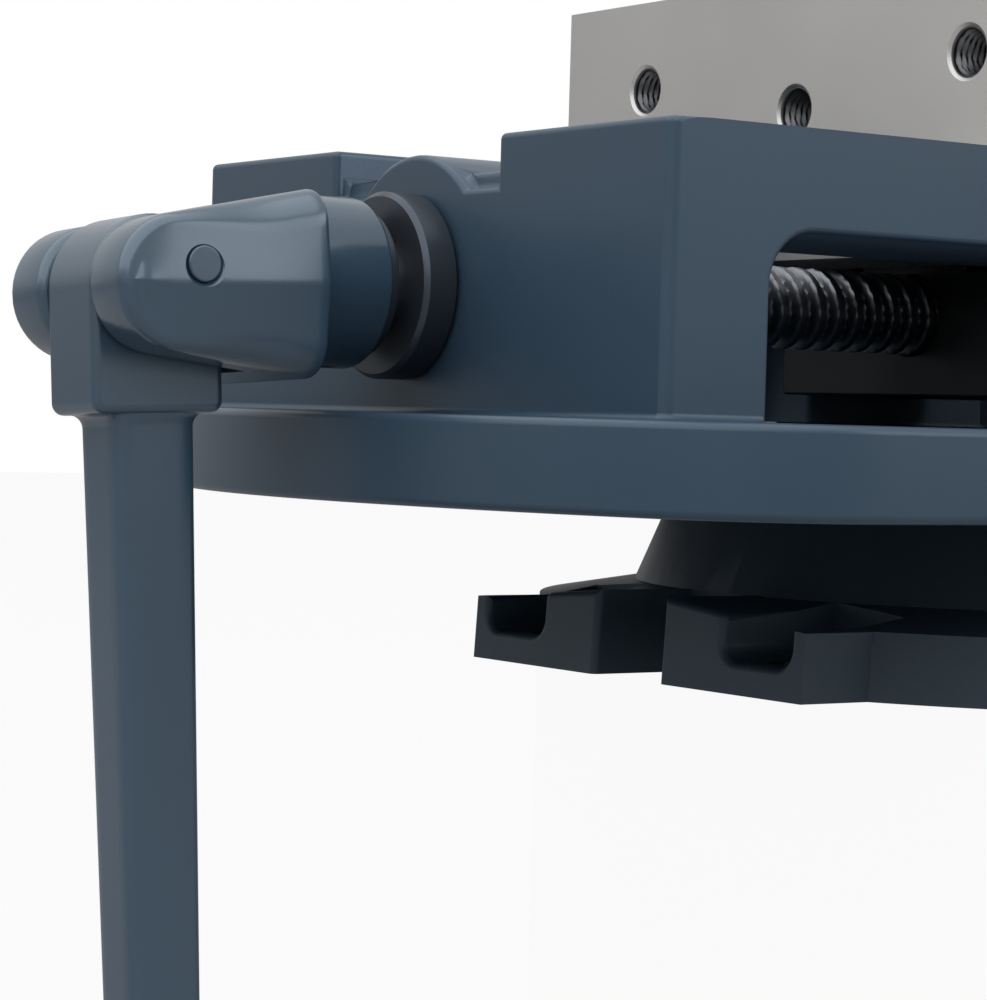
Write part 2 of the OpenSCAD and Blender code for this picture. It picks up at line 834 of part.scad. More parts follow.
// Wedge face of the nut's horn, and the same outline grown by its play for the jaw
module horn_outline(front_play, rear_play, top_play) {
    low = roof_z - slide_fit;
    foot = horn_back + horn_base - slide_fit + front_play;
    polygon([[horn_back - rear_play, low], [foot, low],
        [horn_back + horn_base + horn_rise + front_play, roof_z + horn_rise],
        [horn_back + horn_base + horn_rise + front_play, roof_z + horn_top + top_play],
        [horn_back - rear_play, roof_z + horn_top + top_play]]);
}

// The horn outline as an upright wall of width w on the middle plane
module horn_wall(w, front_play, rear_play, top_play) {
    translate([jaw_x, w / 2, 0]) rotate([90, 0, 0]) linear_extrude(height = w) {
        horn_outline(front_play, rear_play, top_play);
    }
}

// Centre of the ball segment, on the wedge face of the horn
segment_x = jaw_x + horn_back + horn_base + horn_rise * segment_share;
segment_z = roof_z + horn_rise * segment_share;

module jaw_block(len) {
    translate([0, -bed_w / 2, way_z + way_fit]) cube([len, bed_w, jaw_h - way_fit]);
}

module movable_jaw() {
    tongue_w = slot_w - 2 * slide_fit;
    color(steel) difference() {
        union() {
            translate([jaw_x, 0, 0]) jaw_block(movable_len);
            translate([jaw_x + tongue_in, -tongue_w / 2, way_z - tongue_h]) {
                cube([movable_len - 2 * tongue_in, tongue_w, tongue_h + cut]);
            }
        }
        horn_wall(horn_w + 2 * horn_play, horn_play, horn_rear_play, horn_rear_play);
        translate([segment_x, 0, segment_z]) sphere(r = segment_r + seat_fit);
        at_plate_screws(jaw_x) jaw_hole(rear_thread_len);
        at_plate_screws(jaw_x + movable_len) rotate([180, 0, 0]) jaw_hole(plate_thread_len);
        translate([jaw_x, 0, way_z + set_screw_h]) rotate([0, 90, 0]) jaw_hole(horn_back);
    }
}

// Nut block under the ways, with the horn that rises through the slot
module jaw_nut() {
    top = roof_z - slide_fit;
    bottom = floor_z + nut_floor;
    color(black_steel) difference() {
        union() {
            translate([jaw_x + horn_back, -nut_w / 2, bottom]) cube([nut_len, nut_w, top - bottom]);
            horn_wall(horn_w, 0, 0, 0);
        }
        x_at_screw() x_bar(jaw_x + horn_back - cut, screw_r + run_fit, nut_len + 2 * cut);
    }
}

// Half ball whose flat rests on the wedge face
module jaw_segment() {
    color(bright_steel) translate([segment_x, 0, segment_z]) intersection() {
        sphere(r = segment_r);
        rotate([0, 45, 0]) translate([seat_fit, -segment_r, -segment_r]) cube(2 * segment_r);
    }
}

module jaw_set_screw() {
    color(black_steel) translate([jaw_x + horn_back - set_screw_len, 0, way_z + set_screw_h]) {
        translate([set_screw_len, 0, 0]) rotate([0, -90, 0]) {
            grub(jaw_thread_r - shank_fit, set_screw_len, set_hex_af, set_hex_d);
        }
    }
}

// A jaw plate with counterbored holes, its gripping face on the far side of x from the jaw
module jaw_plate(x, face) {
    color(bright_steel) difference() {
        translate([x, 0, 0]) jaw_block(plate_t);
        at_plate_screws(x) {
            translate([0, 0, -cut]) cylinder(r = jaw_thread_r + side_gap, h = plate_t + 2 * cut);
            translate([0, 0, face > 0 ? plate_t - cap_h - cap_sink : -cut]) {
                cylinder(r = cap_r + cap_fit, h = cap_h + cap_sink + cut);
            }
        }
    }
}

module movable_jaw_plate() {
    jaw_plate(jaw_x + movable_len, 1);
}

module fixed_jaw_plate() {
    jaw_plate(fixed_face, -1);
}

module plate_screw() {
    cap_screw(jaw_thread_r - shank_fit, cap_len, cap_r, cap_h, cap_hex_af, cap_hex_d);
}

module movable_plate_screws() {
    color(black_steel) at_plate_screws(movable_face - cap_sink - cap_h) plate_screw();
}

module fixed_plate_screws() {
    color(black_steel) at_plate_screws(fixed_face + cap_sink + cap_h) rotate([180, 0, 0]) plate_screw();
}

module fixed_jaw() {
    tongue_w = slot_w - 2 * slide_fit;
    color(steel) difference() {
        union() {
            translate([fixed_x, 0, 0]) jaw_block(fixed_len);
            translate([fixed_x + fixed_tongue_in, -tongue_w / 2, way_z - fixed_tongue_h]) {
                cube([hollow_rear - fixed_x - 2 * fixed_tongue_in, tongue_w, fixed_tongue_h + cut]);
            }
        }
        at_plate_screws(fixed_x) jaw_hole(plate_thread_len);
        at_plate_screws(rear_x) rotate([180, 0, 0]) jaw_hole(rear_thread_len);
        for (side = [-1, 1]) {
            translate([big_cap_x, side * big_cap_y, 0]) {
                translate([0, 0, way_z - cut]) cylinder(r = big_shank_r + side_gap, h = jaw_h + 2 * cut);
                translate([0, 0, big_cap_z]) cylinder(r = big_cap_r + cap_fit, h = jaw_h);
            }
            translate([key_x, side * key_y, way_z]) {
                cube([key_w + 2 * seat_fit, key_len + 2 * seat_fit, key_h + 2 * seat_fit], center = true);
            }
        }
    }
}

module fixed_jaw_keys() {
    color(bright_steel) for (side = [-1, 1]) {
        translate([key_x - key_w / 2, side * key_y - key_len / 2, way_z - key_h / 2]) {
            cube([key_w, key_len, key_h]);
        }
    }
}

module fixed_jaw_screws() {
    color(black_steel) for (side = [-1, 1]) {
        translate([big_cap_x, side * big_cap_y, big_cap_z]) {
            cap_screw(big_shank_r, big_shank_len, big_cap_r, big_cap_h, big_hex_af, big_hex_d);
        }
    }
}

swivel_base();
swivel_pivot();
pivot_washer();
pivot_screw();
bed();
t_bolts();
clamp_washers();
clamp_nuts();
front_bush();
rear_bush();
fixed_race();
thrust_balls();
turning_race();
lead_screw();
screw_collar();
collar_set_screw();
hub_washer();
crank_hub();
hub_set_screw();
hinge_pin();
crank_arm();
grip_spindle();
grip();
fixed_jaw();
fixed_jaw_keys();
fixed_jaw_screws();
fixed_jaw_plate();
fixed_plate_screws();
movable_jaw();
movable_jaw_plate();
movable_plate_screws();
jaw_nut();
jaw_segment();
jaw_set_screw();
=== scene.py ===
# Looks of a machine vise on a swivel base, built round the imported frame
import math

import bmesh
import bpy
import numpy as np
from mathutils import Matrix, Vector


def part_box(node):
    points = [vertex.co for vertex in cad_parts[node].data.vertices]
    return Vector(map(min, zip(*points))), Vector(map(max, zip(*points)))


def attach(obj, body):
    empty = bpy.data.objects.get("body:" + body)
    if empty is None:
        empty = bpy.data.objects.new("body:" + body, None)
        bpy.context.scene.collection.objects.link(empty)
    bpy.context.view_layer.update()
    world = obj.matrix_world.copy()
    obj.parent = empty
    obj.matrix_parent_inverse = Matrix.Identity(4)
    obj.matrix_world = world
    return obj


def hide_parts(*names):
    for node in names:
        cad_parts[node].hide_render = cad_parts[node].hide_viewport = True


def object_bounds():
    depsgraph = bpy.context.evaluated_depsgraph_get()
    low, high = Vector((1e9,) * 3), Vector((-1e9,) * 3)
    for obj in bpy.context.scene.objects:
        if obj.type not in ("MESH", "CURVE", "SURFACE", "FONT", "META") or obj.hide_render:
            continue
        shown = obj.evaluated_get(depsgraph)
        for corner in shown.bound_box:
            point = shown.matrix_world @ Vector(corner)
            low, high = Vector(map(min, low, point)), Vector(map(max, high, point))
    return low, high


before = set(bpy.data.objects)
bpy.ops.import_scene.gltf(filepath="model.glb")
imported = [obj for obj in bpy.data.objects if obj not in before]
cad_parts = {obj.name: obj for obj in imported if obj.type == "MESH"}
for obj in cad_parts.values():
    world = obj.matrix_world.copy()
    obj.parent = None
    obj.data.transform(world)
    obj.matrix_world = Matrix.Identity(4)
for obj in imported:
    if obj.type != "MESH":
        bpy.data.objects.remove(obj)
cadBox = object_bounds()
mm = 0.001

# Camera: solved from the straight edges of the bed, so it stands where the photograph was taken
view = {
    "place": (-0.4726, -0.4811, 0.05205),
    "yaw": 0.5985,     # turn from +Y towards +X, in radians
    "pitch": 0.0282,   # downwards
    "roll": 0.028,
    "lens": 108.3,     # along the image's long side
    "sensor": 36,
    "clip": 0.02,
}


def addCamera():
    yaw, pitch, roll = view["yaw"], view["pitch"], view["roll"]
    ahead = Vector((math.sin(yaw) * math.cos(pitch), math.cos(yaw) * math.cos(pitch), -math.sin(pitch)))
    level = Vector((math.cos(yaw), -math.sin(yaw), 0))
    upright = level.cross(ahead)
    right = level * math.cos(roll) + upright * math.sin(roll)
    up = upright * math.cos(roll) - level * math.sin(roll)
    turn = Matrix((right, up, -ahead)).transposed().to_4x4()
    camera = bpy.data.objects.new("camera", bpy.data.cameras.new("camera"))
    camera.data.lens = view["lens"]
    camera.data.sensor_width = view["sensor"]
    camera.data.clip_start = view["clip"]
    camera.matrix_world = Matrix.Translation(view["place"]) @ turn
    bpy.context.scene.collection.objects.link(camera)
    bpy.context.scene.camera = camera


addCamera()
bpy.context.scene.view_settings.view_transform = "Standard"


# Node helpers

# A colour given as the screen shows it, 0 to 255, as Blender's linear values
def linear(rgb):
    return tuple(((c / 255 + 0.055) / 1.055) ** 2.4 if c > 10 else c / 255 / 12.92 for c in rgb) + (1.0,)


# Links a socket to an input, or sets the input to a plain value
def feed(tree, socket, value):
    if isinstance(value, bpy.types.NodeSocket):
        tree.links.new(value, socket)
    else:
        socket.default_value = value


# Inputs are given by name with _ for a space, or as i0, i1 and so on by number
def addNode(tree, kind, settings=None, **inputs):
    node = tree.nodes.new(kind)
    for key, value in (settings or {}).items():
        setattr(node, key, value)
    for key, value in inputs.items():
        numbered = key[0] == "i" and key[1:].isdigit()
        feed(tree, node.inputs[int(key[1:]) if numbered else key.replace("_", " ")], value)
    return node


def addMath(tree, operation, *values):
    inputs = {f"i{k}": value for k, value in enumerate(values)}
    return addNode(tree, "ShaderNodeMath", {"operation": operation}, **inputs).outputs[0]


def addNoise(tree, **inputs):
    place = addNode(tree, "ShaderNodeTexCoord")
    return addNode(tree, "ShaderNodeTexNoise", Vector=place.outputs["Object"], **inputs).outputs["Fac"]


# Value between a and b by a factor
def addMix(tree, factor, a, b):
    node = addNode(tree, "ShaderNodeMix", {"data_type": "FLOAT"}, Factor=factor, A=a, B=b)
    return node.outputs["Result"]


# Inputs are given with their defaults: a colour, a vector or a number
def startGroup(name, **inputs):
    kinds = {tuple: "NodeSocketVector", float: "NodeSocketFloat"}
    group = bpy.data.node_groups.new(name, "ShaderNodeTree")
    for label, value in inputs.items():
        kind = "NodeSocketColor" if label == "Color" else kinds[type(value)]
        group.interface.new_socket(label, in_out="INPUT", socket_type=kind).default_value = value
    return group, group.nodes.new("NodeGroupInput").outputs


def endGroup(group, **outputs):
    for label in outputs:
        kind = "NodeSocketColor" if label == "Color" else "NodeSocketFloat"
        group.interface.new_socket(label, in_out="OUTPUT", socket_type=kind)
    last = group.nodes.new("NodeGroupOutput")
    for label, socket in outputs.items():
        group.links.new(socket, last.inputs[label])
    return group


def placeGroup(tree, group, **inputs):
    return addNode(tree, "ShaderNodeGroup", {"node_tree": group}, **inputs).outputs


# Effects that several materials share

# Soft cloudy patches: the colour times 1 + spread * (2 * noise - 1), with a slow noise
def makePatches():
    group, given = startGroup("patches", Color=(0.5, 0.5, 0.5, 1.0), Spread=0.1, Scale=20.0)
    slow = addNoise(group, Scale=given["Scale"], Detail=4, Roughness=0.6)
    swing = addMath(group, "MULTIPLY_ADD", slow, 2.0, -1.0)
    gain = addMath(group, "MULTIPLY_ADD", swing, given["Spread"], 1.0)
    scaled = addNode(group, "ShaderNodeVectorMath", {"operation": "SCALE"}, i0=given["Color"], Scale=gain)
    return endGroup(group, Color=scaled.outputs[0], Fac=slow)


# Height of a sprayed or cast skin: a fine noise mixed with a coarse one
def makeSkin():
    group, given = startGroup("skin", Fine=900.0, Coarse=160.0, Share=0.4)
    fine = addNoise(group, Scale=given["Fine"], Detail=3)
    coarse = addNoise(group, Scale=given["Coarse"], Detail=5)
    return endGroup(group, Height=addMix(group, given["Share"], fine, coarse))


# Marks of a surface grinder: a noise drawn out along one axis
def makeGrind():
    group, given = startGroup("grind", Along=(1.0, 1.0, 1.0), Scale=300.0)
    place = addNode(group, "ShaderNodeTexCoord")
    drawn = addNode(group, "ShaderNodeMapping", Vector=place.outputs["Object"], Scale=given["Along"])
    lines = addNode(group, "ShaderNodeTexNoise", Vector=drawn.outputs[0], Scale=given["Scale"], Detail=6,
                    Roughness=0.7)
    return endGroup(group, Height=lines.outputs["Fac"])


wearAndGlintSharp = (0.5, 0.62)     # pointiness of a flat place and of a sharp edge
wearAndGlintFade = 0.12             # how gently a rubbed place starts


# Where an edge is rubbed, and on the lead screw's crests a painted glint: convex places of the mesh, broken
# up by a noise, past 1 - reach
def makeWearAndGlint():
    group, given = startGroup("wearAndGlint", Reach=0.5, Scale=250.0)
    shape = addNode(group, "ShaderNodeNewGeometry")
    chips = addNoise(group, Scale=given["Scale"], Detail=5, Roughness=0.65)
    sharp = addNode(group, "ShaderNodeMapRange", Value=shape.outputs["Pointiness"],
                    From_Min=wearAndGlintSharp[0], From_Max=wearAndGlintSharp[1])
    mixed = addMath(group, "MULTIPLY", sharp.outputs[0], chips)
    level = addMath(group, "SUBTRACT", 1.0, given["Reach"])
    high = addMath(group, "ADD", level, wearAndGlintFade)
    cutOff = addNode(group, "ShaderNodeMapRange", Value=mixed, From_Min=level, From_Max=high)
    return endGroup(group, Mask=cutOff.outputs[0])


patches, skin, grind, wearAndGlint = makePatches(), makeSkin(), makeGrind(), makeWearAndGlint()

# Finishes: colours are as the screen shows them. spread and patch are the strength and scale of the cloudy
# patches, fine, coarse and share make the skin, and bump is its height in millimetres
paints = {
    "bluePaint": {"color": (47, 65, 81), "rough": 0.36, "coat": 0.0, "index": 1.5,
                  "spread": 0.05, "patch": 14, "fine": 1400, "coarse": 260, "share": 0.45,
                  "bump": 0.025, "wearAndGlintReach": 0.08, "wearAndGlintColor": (96, 112, 128)},
    "crankPaint": {"color": (46, 65, 81), "rough": 0.24, "coat": 0.1, "index": 1.8,
                   "spread": 0.04, "patch": 14, "fine": 1400, "coarse": 260, "share": 0.45,
                   "bump": 0.02, "wearAndGlintReach": 0.08, "wearAndGlintColor": (96, 112, 128)},
    "basePaint": {"color": (37, 49, 59), "rough": 0.5, "coat": 0.0, "index": 1.5,
                  "spread": 0.1, "patch": 30, "fine": 1100, "coarse": 190, "share": 0.55,
                  "bump": 0.09, "wearAndGlintReach": 0.08, "wearAndGlintColor": (70, 80, 88)},
    # The same blue paint as outside, made paler: painted bounce light for the faces between the bed's walls
    "innerPaintWithBounceLight": {"color": (84, 100, 116), "rough": 0.6, "coat": 0.0, "index": 1.5,
                   "spread": 0.15, "patch": 30, "fine": 900, "coarse": 150, "share": 0.5,
                   "bump": 0.12, "wearAndGlintReach": 0.2, "wearAndGlintColor": (60, 66, 70)},
    "gripPlastic": {"color": (34, 35, 38), "rough": 0.42, "coat": 0.0, "index": 1.46,
                    "spread": 0.06, "patch": 40, "fine": 2600, "coarse": 700, "share": 0.3,
                    "bump": 0.04, "wearAndGlintReach": 0.3, "wearAndGlintColor": (70, 72, 76), "tint": (1, 1, 1, 1)},
}
# In these, along and scale draw out the grinding marks
metals = {
    "groundSteel": {"color": (181, 180, 178), "rough": 0.46, "metal": 1.0, "spread": 0.05, "patch": 22,
                    "along": (1, 0.06, 1), "scale": 420, "bump": 0.010,
                    "wearAndGlintReach": 0.3, "wearAndGlintColor": (214, 213, 210)},
    "plateSteel": {"color": (172, 172, 175), "rough": 0.38, "metal": 1.0, "spread": 0.04, "patch": 26,
                   "along": (1, 0.05, 1), "scale": 520, "bump": 0.010,
                   "wearAndGlintReach": 0.3, "wearAndGlintColor": (222, 222, 224)},
    "turnedSteel": {"color": (176, 176, 178), "rough": 0.26, "metal": 1.0, "spread": 0.05, "patch": 40,
                    "along": (14, 1, 1), "scale": 130, "bump": 0.006,
                    "wearAndGlintReach": 0.35, "wearAndGlintColor": (225, 225, 226)},
    # Its bright wear colour, spread far over the thread's crests, is a painted glint
    "threadSteel": {"color": (108, 111, 116), "rough": 0.36, "metal": 1.0, "spread": 0.12, "patch": 60,
                    "along": (8, 1, 1), "scale": 160, "bump": 0.006,
                    "wearAndGlintReach": 0.5, "wearAndGlintColor": (190, 194, 198)},
    "blackSteel": {"color": (62, 69, 78), "rough": 0.34, "metal": 0.65, "spread": 0.08, "patch": 50,
                   "along": (10, 1, 1), "scale": 150, "bump": 0.008,
                   "wearAndGlintReach": 0.25, "wearAndGlintColor": (150, 152, 156)},
    "boreSteel": {"color": (96, 97, 100), "rough": 0.4, "metal": 1.0, "spread": 0.1, "patch": 60,
                  "along": (8, 1, 1), "scale": 160, "bump": 0.006,
                  "wearAndGlintReach": 0.3, "wearAndGlintColor": (140, 140, 142)},
    "nutIron": {"color": (44, 46, 48), "rough": 0.5, "metal": 0.7, "spread": 0.15, "patch": 40,
                "along": (1, 1, 1), "scale": 260, "bump": 0.02,
                "wearAndGlintReach": 0.4, "wearAndGlintColor": (96, 98, 100)},
    "bushBronze": {"color": (176, 138, 78), "rough": 0.34, "metal": 1.0, "spread": 0.08, "patch": 50,
                   "along": (10, 1, 1), "scale": 150, "bump": 0.006,
                   "wearAndGlintReach": 0.4, "wearAndGlintColor": (214, 180, 120)},
}
roughSwing = 0.14                   # share of the roughness by which the patches change it
roughFrom, roughTo = 0.25, 0.75     # levels of the patches between which it changes
paintTint = (0.78, 0.9, 1, 1)       # the colour of a paint's reflections
coatRough = 0.14


def startMaterial(name, look):
    material = bpy.data.materials.new(name)
    material.use_nodes = True
    tree = material.node_tree
    shader = tree.nodes["Principled BSDF"]
    cloudy = placeGroup(tree, patches, Color=linear(look["color"]), Spread=look["spread"],
                        Scale=look["patch"])
    # Lighter colour on convex edges: rubbed wear, and on the lead screw's crests a painted glint
    rubbed = placeGroup(tree, wearAndGlint, Reach=look["wearAndGlintReach"])
    color = addNode(tree, "ShaderNodeMix", {"data_type": "RGBA"}, Factor=rubbed["Mask"], A=cloudy["Color"],
                    B=linear(look["wearAndGlintColor"]))
    tree.links.new(color.outputs["Result"], shader.inputs["Base Color"])
    rough = addNode(tree, "ShaderNodeMapRange", Value=cloudy["Fac"], From_Min=roughFrom, From_Max=roughTo,
                    To_Min=look["rough"] * (1 - roughSwing), To_Max=look["rough"] * (1 + roughSwing))
    tree.links.new(rough.outputs[0], shader.inputs["Roughness"])
    return material, tree, shader


def addBump(tree, shader, height, depth):
    bump = addNode(tree, "ShaderNodeBump", Strength=1.0, Distance=depth * mm, Height=height)
    tree.links.new(bump.outputs[0], shader.inputs["Normal"])


def makePaint(name, look):
    material, tree, shader = startMaterial(name, look)
    shader.inputs["Coat Weight"].default_value = look["coat"]
    shader.inputs["Coat Roughness"].default_value = coatRough
    shader.inputs["IOR"].default_value = look["index"]
    shader.inputs["Specular Tint"].default_value = look.get("tint", paintTint)
    height = placeGroup(tree, skin, Fine=look["fine"], Coarse=look["coarse"], Share=look["share"])
    addBump(tree, shader, height["Height"], look["bump"])
    return material


def makeMetal(name, look):
    material, tree, shader = startMaterial(name, look)
    shader.inputs["Metallic"].default_value = look["metal"]
    height = placeGroup(tree, grind, Along=look["along"], Scale=look["scale"])
    addBump(tree, shader, height["Height"], look["bump"])
    return material


finish = {name: makePaint(name, look) for name, look in paints.items()}
finish.update({name: makeMetal(name, look) for name, look in metals.items()})
print("finishes made:", len(finish))


# Mesh helpers

def linkMesh(name, mesh):
    piece = bpy.data.objects.new(name, mesh)
    bpy.context.scene.collection.objects.link(piece)
    return piece


def seatPiece(piece, body, slot, material, *replaced):
    piece.data.materials.clear()
    piece.data.materials.append(finish[material])
    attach(piece, body)
    if replaced:
        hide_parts(*replaced)
    return piece


def shadeSoft(mesh, sharpAngle=40):
    mesh.polygons.foreach_set("use_smooth", np.ones(len(mesh.polygons), bool))
    mesh.set_sharp_from_angle(angle=math.radians(sharpAngle))


def weighNormals(piece):
    piece.modifiers.new("weighted normals", "WEIGHTED_NORMAL").keep_sharp = True


weld = 0.002        # corners nearer than this, in mm, are one
flat = 0.6          # faces that meet at less than this, in degrees, are one


# A merged copy of a node's triangles, with flat faces joined again
def nodeMesh(node):
    work = bmesh.new()
    work.from_mesh(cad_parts[node].data)
    bmesh.ops.remove_doubles(work, verts=work.verts, dist=weld * mm)
    bmesh.ops.dissolve_limit(work, angle_limit=math.radians(flat), verts=work.verts, edges=work.edges)
    return work


bevelLook = {"angle": 32, "room": 1.15}     # least angle of an edge that is cut, and room it needs per radius


# One short edge holds back a whole clamped pass, so a split pass first cuts the edges with room round them
def bevelEdges(work, width, segments, chosen, split=False):
    limit, room = math.radians(bevelLook["angle"]), bevelLook["room"] * width * mm
    for tight in (False, True) if split else (True,):
        edges = [e for e in work.edges if e.is_manifold and e.calc_face_angle(0) > limit and chosen(e)]
        cut = set(edges)

        def short(edge):
            return any(e.calc_length() < room for v in edge.verts for e in v.link_edges if e not in cut)

        if split:
            edges = [e for e in edges if short(e) == tight and (not tight or e.calc_length() > room)]
        if edges:
            bmesh.ops.bevel(work, geom=edges, offset=width * mm, offset_type="OFFSET", segments=segments,
                            profile=0.5, affect="EDGES", clamp_overlap=tight, loop_slide=True)


# A node with soft edges. cuts lists (radius in mm, segments, which edges, split), the widest first
def softCopy(node, name, cuts, body, slot, material):
    work = nodeMesh(node)
    for cut in cuts:
        bevelEdges(work, *cut)
    mesh = bpy.data.meshes.new(name)
    work.to_mesh(mesh)
    work.free()
    shadeSoft(mesh)
    piece = linkMesh(name, mesh)
    weighNormals(piece)
    return seatPiece(piece, body, slot, material, node)


def allEdges(edge):
    return True


# Quads between the rows of a grid whose columns run once round when closed
def gridFaces(rows, cols, closed):
    r, c = np.meshgrid(np.arange(rows - 1), np.arange(cols if closed else cols - 1), indexing="ij")
    n = (c + 1) % cols
    return np.stack([r * cols + c, r * cols + n, (r + 1) * cols + n, (r + 1) * cols + c], -1).reshape(-1, 4)


# Surface through points[row, column], closed round its columns, with a fan on each end
def gridMesh(name, points, caps=True):
    rows, cols = points.shape[:2]
    verts = points.reshape(-1, 3)
    faces = gridFaces(rows, cols, True).tolist()
    if caps:
        verts = np.vstack([verts, points[0].mean(0), points[-1].mean(0)])
        first, last = rows * cols, rows * cols + 1
        ring = np.arange(cols)
        after = (ring + 1) % cols
        far = (rows - 1) * cols
        faces += np.stack([after, ring, np.full(cols, first)], -1).tolist()
        faces += np.stack([ring + far, after + far, np.full(cols, last)], -1).tolist()
    mesh = bpy.data.meshes.new(name)
    mesh.from_pydata(verts.tolist(), [], faces)
    work = bmesh.new()
    work.from_mesh(mesh)
    bmesh.ops.recalc_face_normals(work, faces=work.faces)
    work.to_mesh(mesh)
    work.free()
    shadeSoft(mesh)
    return mesh


# One closed mesh from parts in mm, joined where they touch. A part is (points, closed): points[row, column]
# is a grid, and points[corner] a single face
def sewMesh(name, parts):
    verts, faces, start = [], [], 0
    for points, closed in parts:
        corners = points.reshape(-1, 3)
        loops = np.arange(len(corners))[None, :] if points.ndim == 2 else gridFaces(*points.shape[:2], closed)
        verts.append(corners)
        faces += (loops + start).tolist()
        start += len(corners)
    mesh = bpy.data.meshes.new(name)
    mesh.from_pydata(np.vstack(verts).tolist(), [], faces)
    work = bmesh.new()
    work.from_mesh(mesh)
    bmesh.ops.remove_doubles(work, verts=work.verts, dist=weld)
    bmesh.ops.dissolve_degenerate(work, edges=work.edges, dist=weld)
    bmesh.ops.recalc_face_normals(work, faces=work.faces)
    bmesh.ops.scale(work, verts=work.verts, vec=(mm, mm, mm))
    work.to_mesh(mesh)
    print(name, "has", sum(not e.is_manifold for e in work.edges), "open edges")
    work.free()
    return mesh


# A bar turned about a line along X through axisPoint. profile lists (x, radius) in mm
def turned(name, profile, axisPoint=(0, 0, 0), columns=72):
    x, r = np.array(profile, float).T
    t = np.linspace(0, 2 * np.pi, columns, endpoint=False)
    y = r[:, None] * np.cos(t) + axisPoint[1] / mm
    z = r[:, None] * np.sin(t) + axisPoint[2] / mm
    return gridMesh(name, np.stack([np.broadcast_to(x[:, None], y.shape), y, z], -1) * mm)


# Joins closed meshes to a piece, or cuts them out of it, and keeps the result as its mesh
def combine(piece, operation, *meshes):
    tools = [linkMesh(mesh.name, mesh) for mesh in meshes]
    for tool in tools:
        step = piece.modifiers.new(tool.name, "BOOLEAN")
        step.operation, step.solver, step.object = operation, "EXACT", tool
    bpy.context.view_layer.update()
    shape = bpy.data.meshes.new_from_object(piece.evaluated_get(bpy.context.evaluated_depsgraph_get()))
    piece.modifiers.clear()
    piece.data = shape
    for tool in tools:
        bpy.data.meshes.remove(tool.data)


# A mesh moved by matrices, the last of which acts first
def placed(mesh, *steps):
    whole = Matrix.Identity(4)
    for step in steps:
        whole = whole @ step
    mesh.transform(whole)
    return mesh


def shifted(x, y, z):
    return Matrix.Translation((x * mm, y * mm, z * mm))


def spun(degrees, axis):
    return Matrix.Rotation(math.radians(degrees), 4, axis)


# Bed: the flange's rim and the upright corners are rounder than the rest, the ways are ground, and the faces
# between the walls get a paler copy of the blue paint as painted bounce light
bedLook = {
    "corner": 2.2, "rim": 1.6, "edge": 1.2,     # radius of each kind of edge
    "flange": 16.5,
    "halfLength": 165.0, "halfWidth": 80.0,     # of the walls that stand on the flange
    "upright": 20.0,                            # a corner's edge is longer than this
    # faces in this room take the paler inner paint, a painted bounce light
    "inside": ((-146.3, 125.3), (-66.3, 66.3), (52.3, 102.4)),      # the room between the walls
    "wayDepth": 0.05, "wayLevel": 0.999,        # a way's face lies no deeper under the top and no less level
}


def makeBed():
    look = bedLook
    lo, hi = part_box("bed")
    wallX, wallY = look["halfLength"] * mm, look["halfWidth"] * mm
    close, near, past = 0.01 * mm, 0.1 * mm, 0.5 * mm

    def corner(edge):
        a, b = edge.verts[0].co, edge.verts[1].co
        upright = abs(a.x - b.x) < close and abs(a.y - b.y) < close and abs(a.z - b.z) > look["upright"] * mm
        return upright and abs(abs(a.y) - wallY) < near and abs(abs(a.x) - wallX) < near

    def rim(edge):
        z = [v.co.z - lo.z for v in edge.verts]
        outside = all(abs(v.co.y) > wallY + past or abs(v.co.x) > wallX + past for v in edge.verts)
        return outside and max(z) - min(z) < close and min(abs(z[0]), abs(z[0] - look["flange"] * mm)) < close

    cuts = [(look["corner"], 4, corner, True), (look["rim"], 3, rim, True), (look["edge"], 3, allEdges, True)]
    piece = softCopy("bed", "bedCasting", cuts, "bed", "body_paint", "bluePaint")
    piece.data.materials.append(finish["innerPaintWithBounceLight"])
    piece.data.materials.append(finish["groundSteel"])
    # Faces between the walls get the paler paint, a painted bounce light; level faces at the top are the
    # ground ways
    for face in piece.data.polygons:
        if all(low < v / mm < high for v, (low, high) in zip(face.center, look["inside"])):
            face.material_index = 1
        elif face.normal.z > look["wayLevel"] and face.center.z > hi.z - look["wayDepth"] * mm:
            face.material_index = 2


makeBed()

# Swivel base: the plate's rim and the ends of the lugs are rounder than the grooves and slots
baseLook = {
    "lug": 1.5, "rim": 2.4, "edge": 1.0,                    # radius of each kind of edge
    "lugFrom": 90.0, "lugHalf": 54.0, "lugTop": 18.5,       # where the ends of the lugs lie: X, Y and Z
    "rimFrom": 10.0,                                        # the rim's edges lie above this
    "slotFrom": 80.0, "slotSides": (28.0, 51.0),            # and outside the slots: X, and Y from and to
}


def makeBase():
    look = baseLook

    def rim(edge):
        inner, outer = look["slotSides"]
        return all(v.co.z > look["rimFrom"] * mm
                   and not (inner * mm < abs(v.co.y) < outer * mm and abs(v.co.x) > look["slotFrom"] * mm)
                   for v in edge.verts)

    def lugEnd(edge):
        ends = all(abs(v.co.x) > look["lugFrom"] * mm and abs(v.co.y) < look["lugHalf"] * mm
                   and v.co.z < lugTop for v in edge.verts)
        return ends and edge.calc_face_angle_signed(0) > 0

    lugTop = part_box("swivel_base")[0].z + look["lugTop"] * mm
    cuts = [(look["lug"], 4, lugEnd, True), (look["rim"], 4, rim), (look["edge"], 2, allEdges)]
    softCopy("swivel_base", "swivelBaseCasting", cuts, "base", "base_paint", "basePaint")


makeBase()

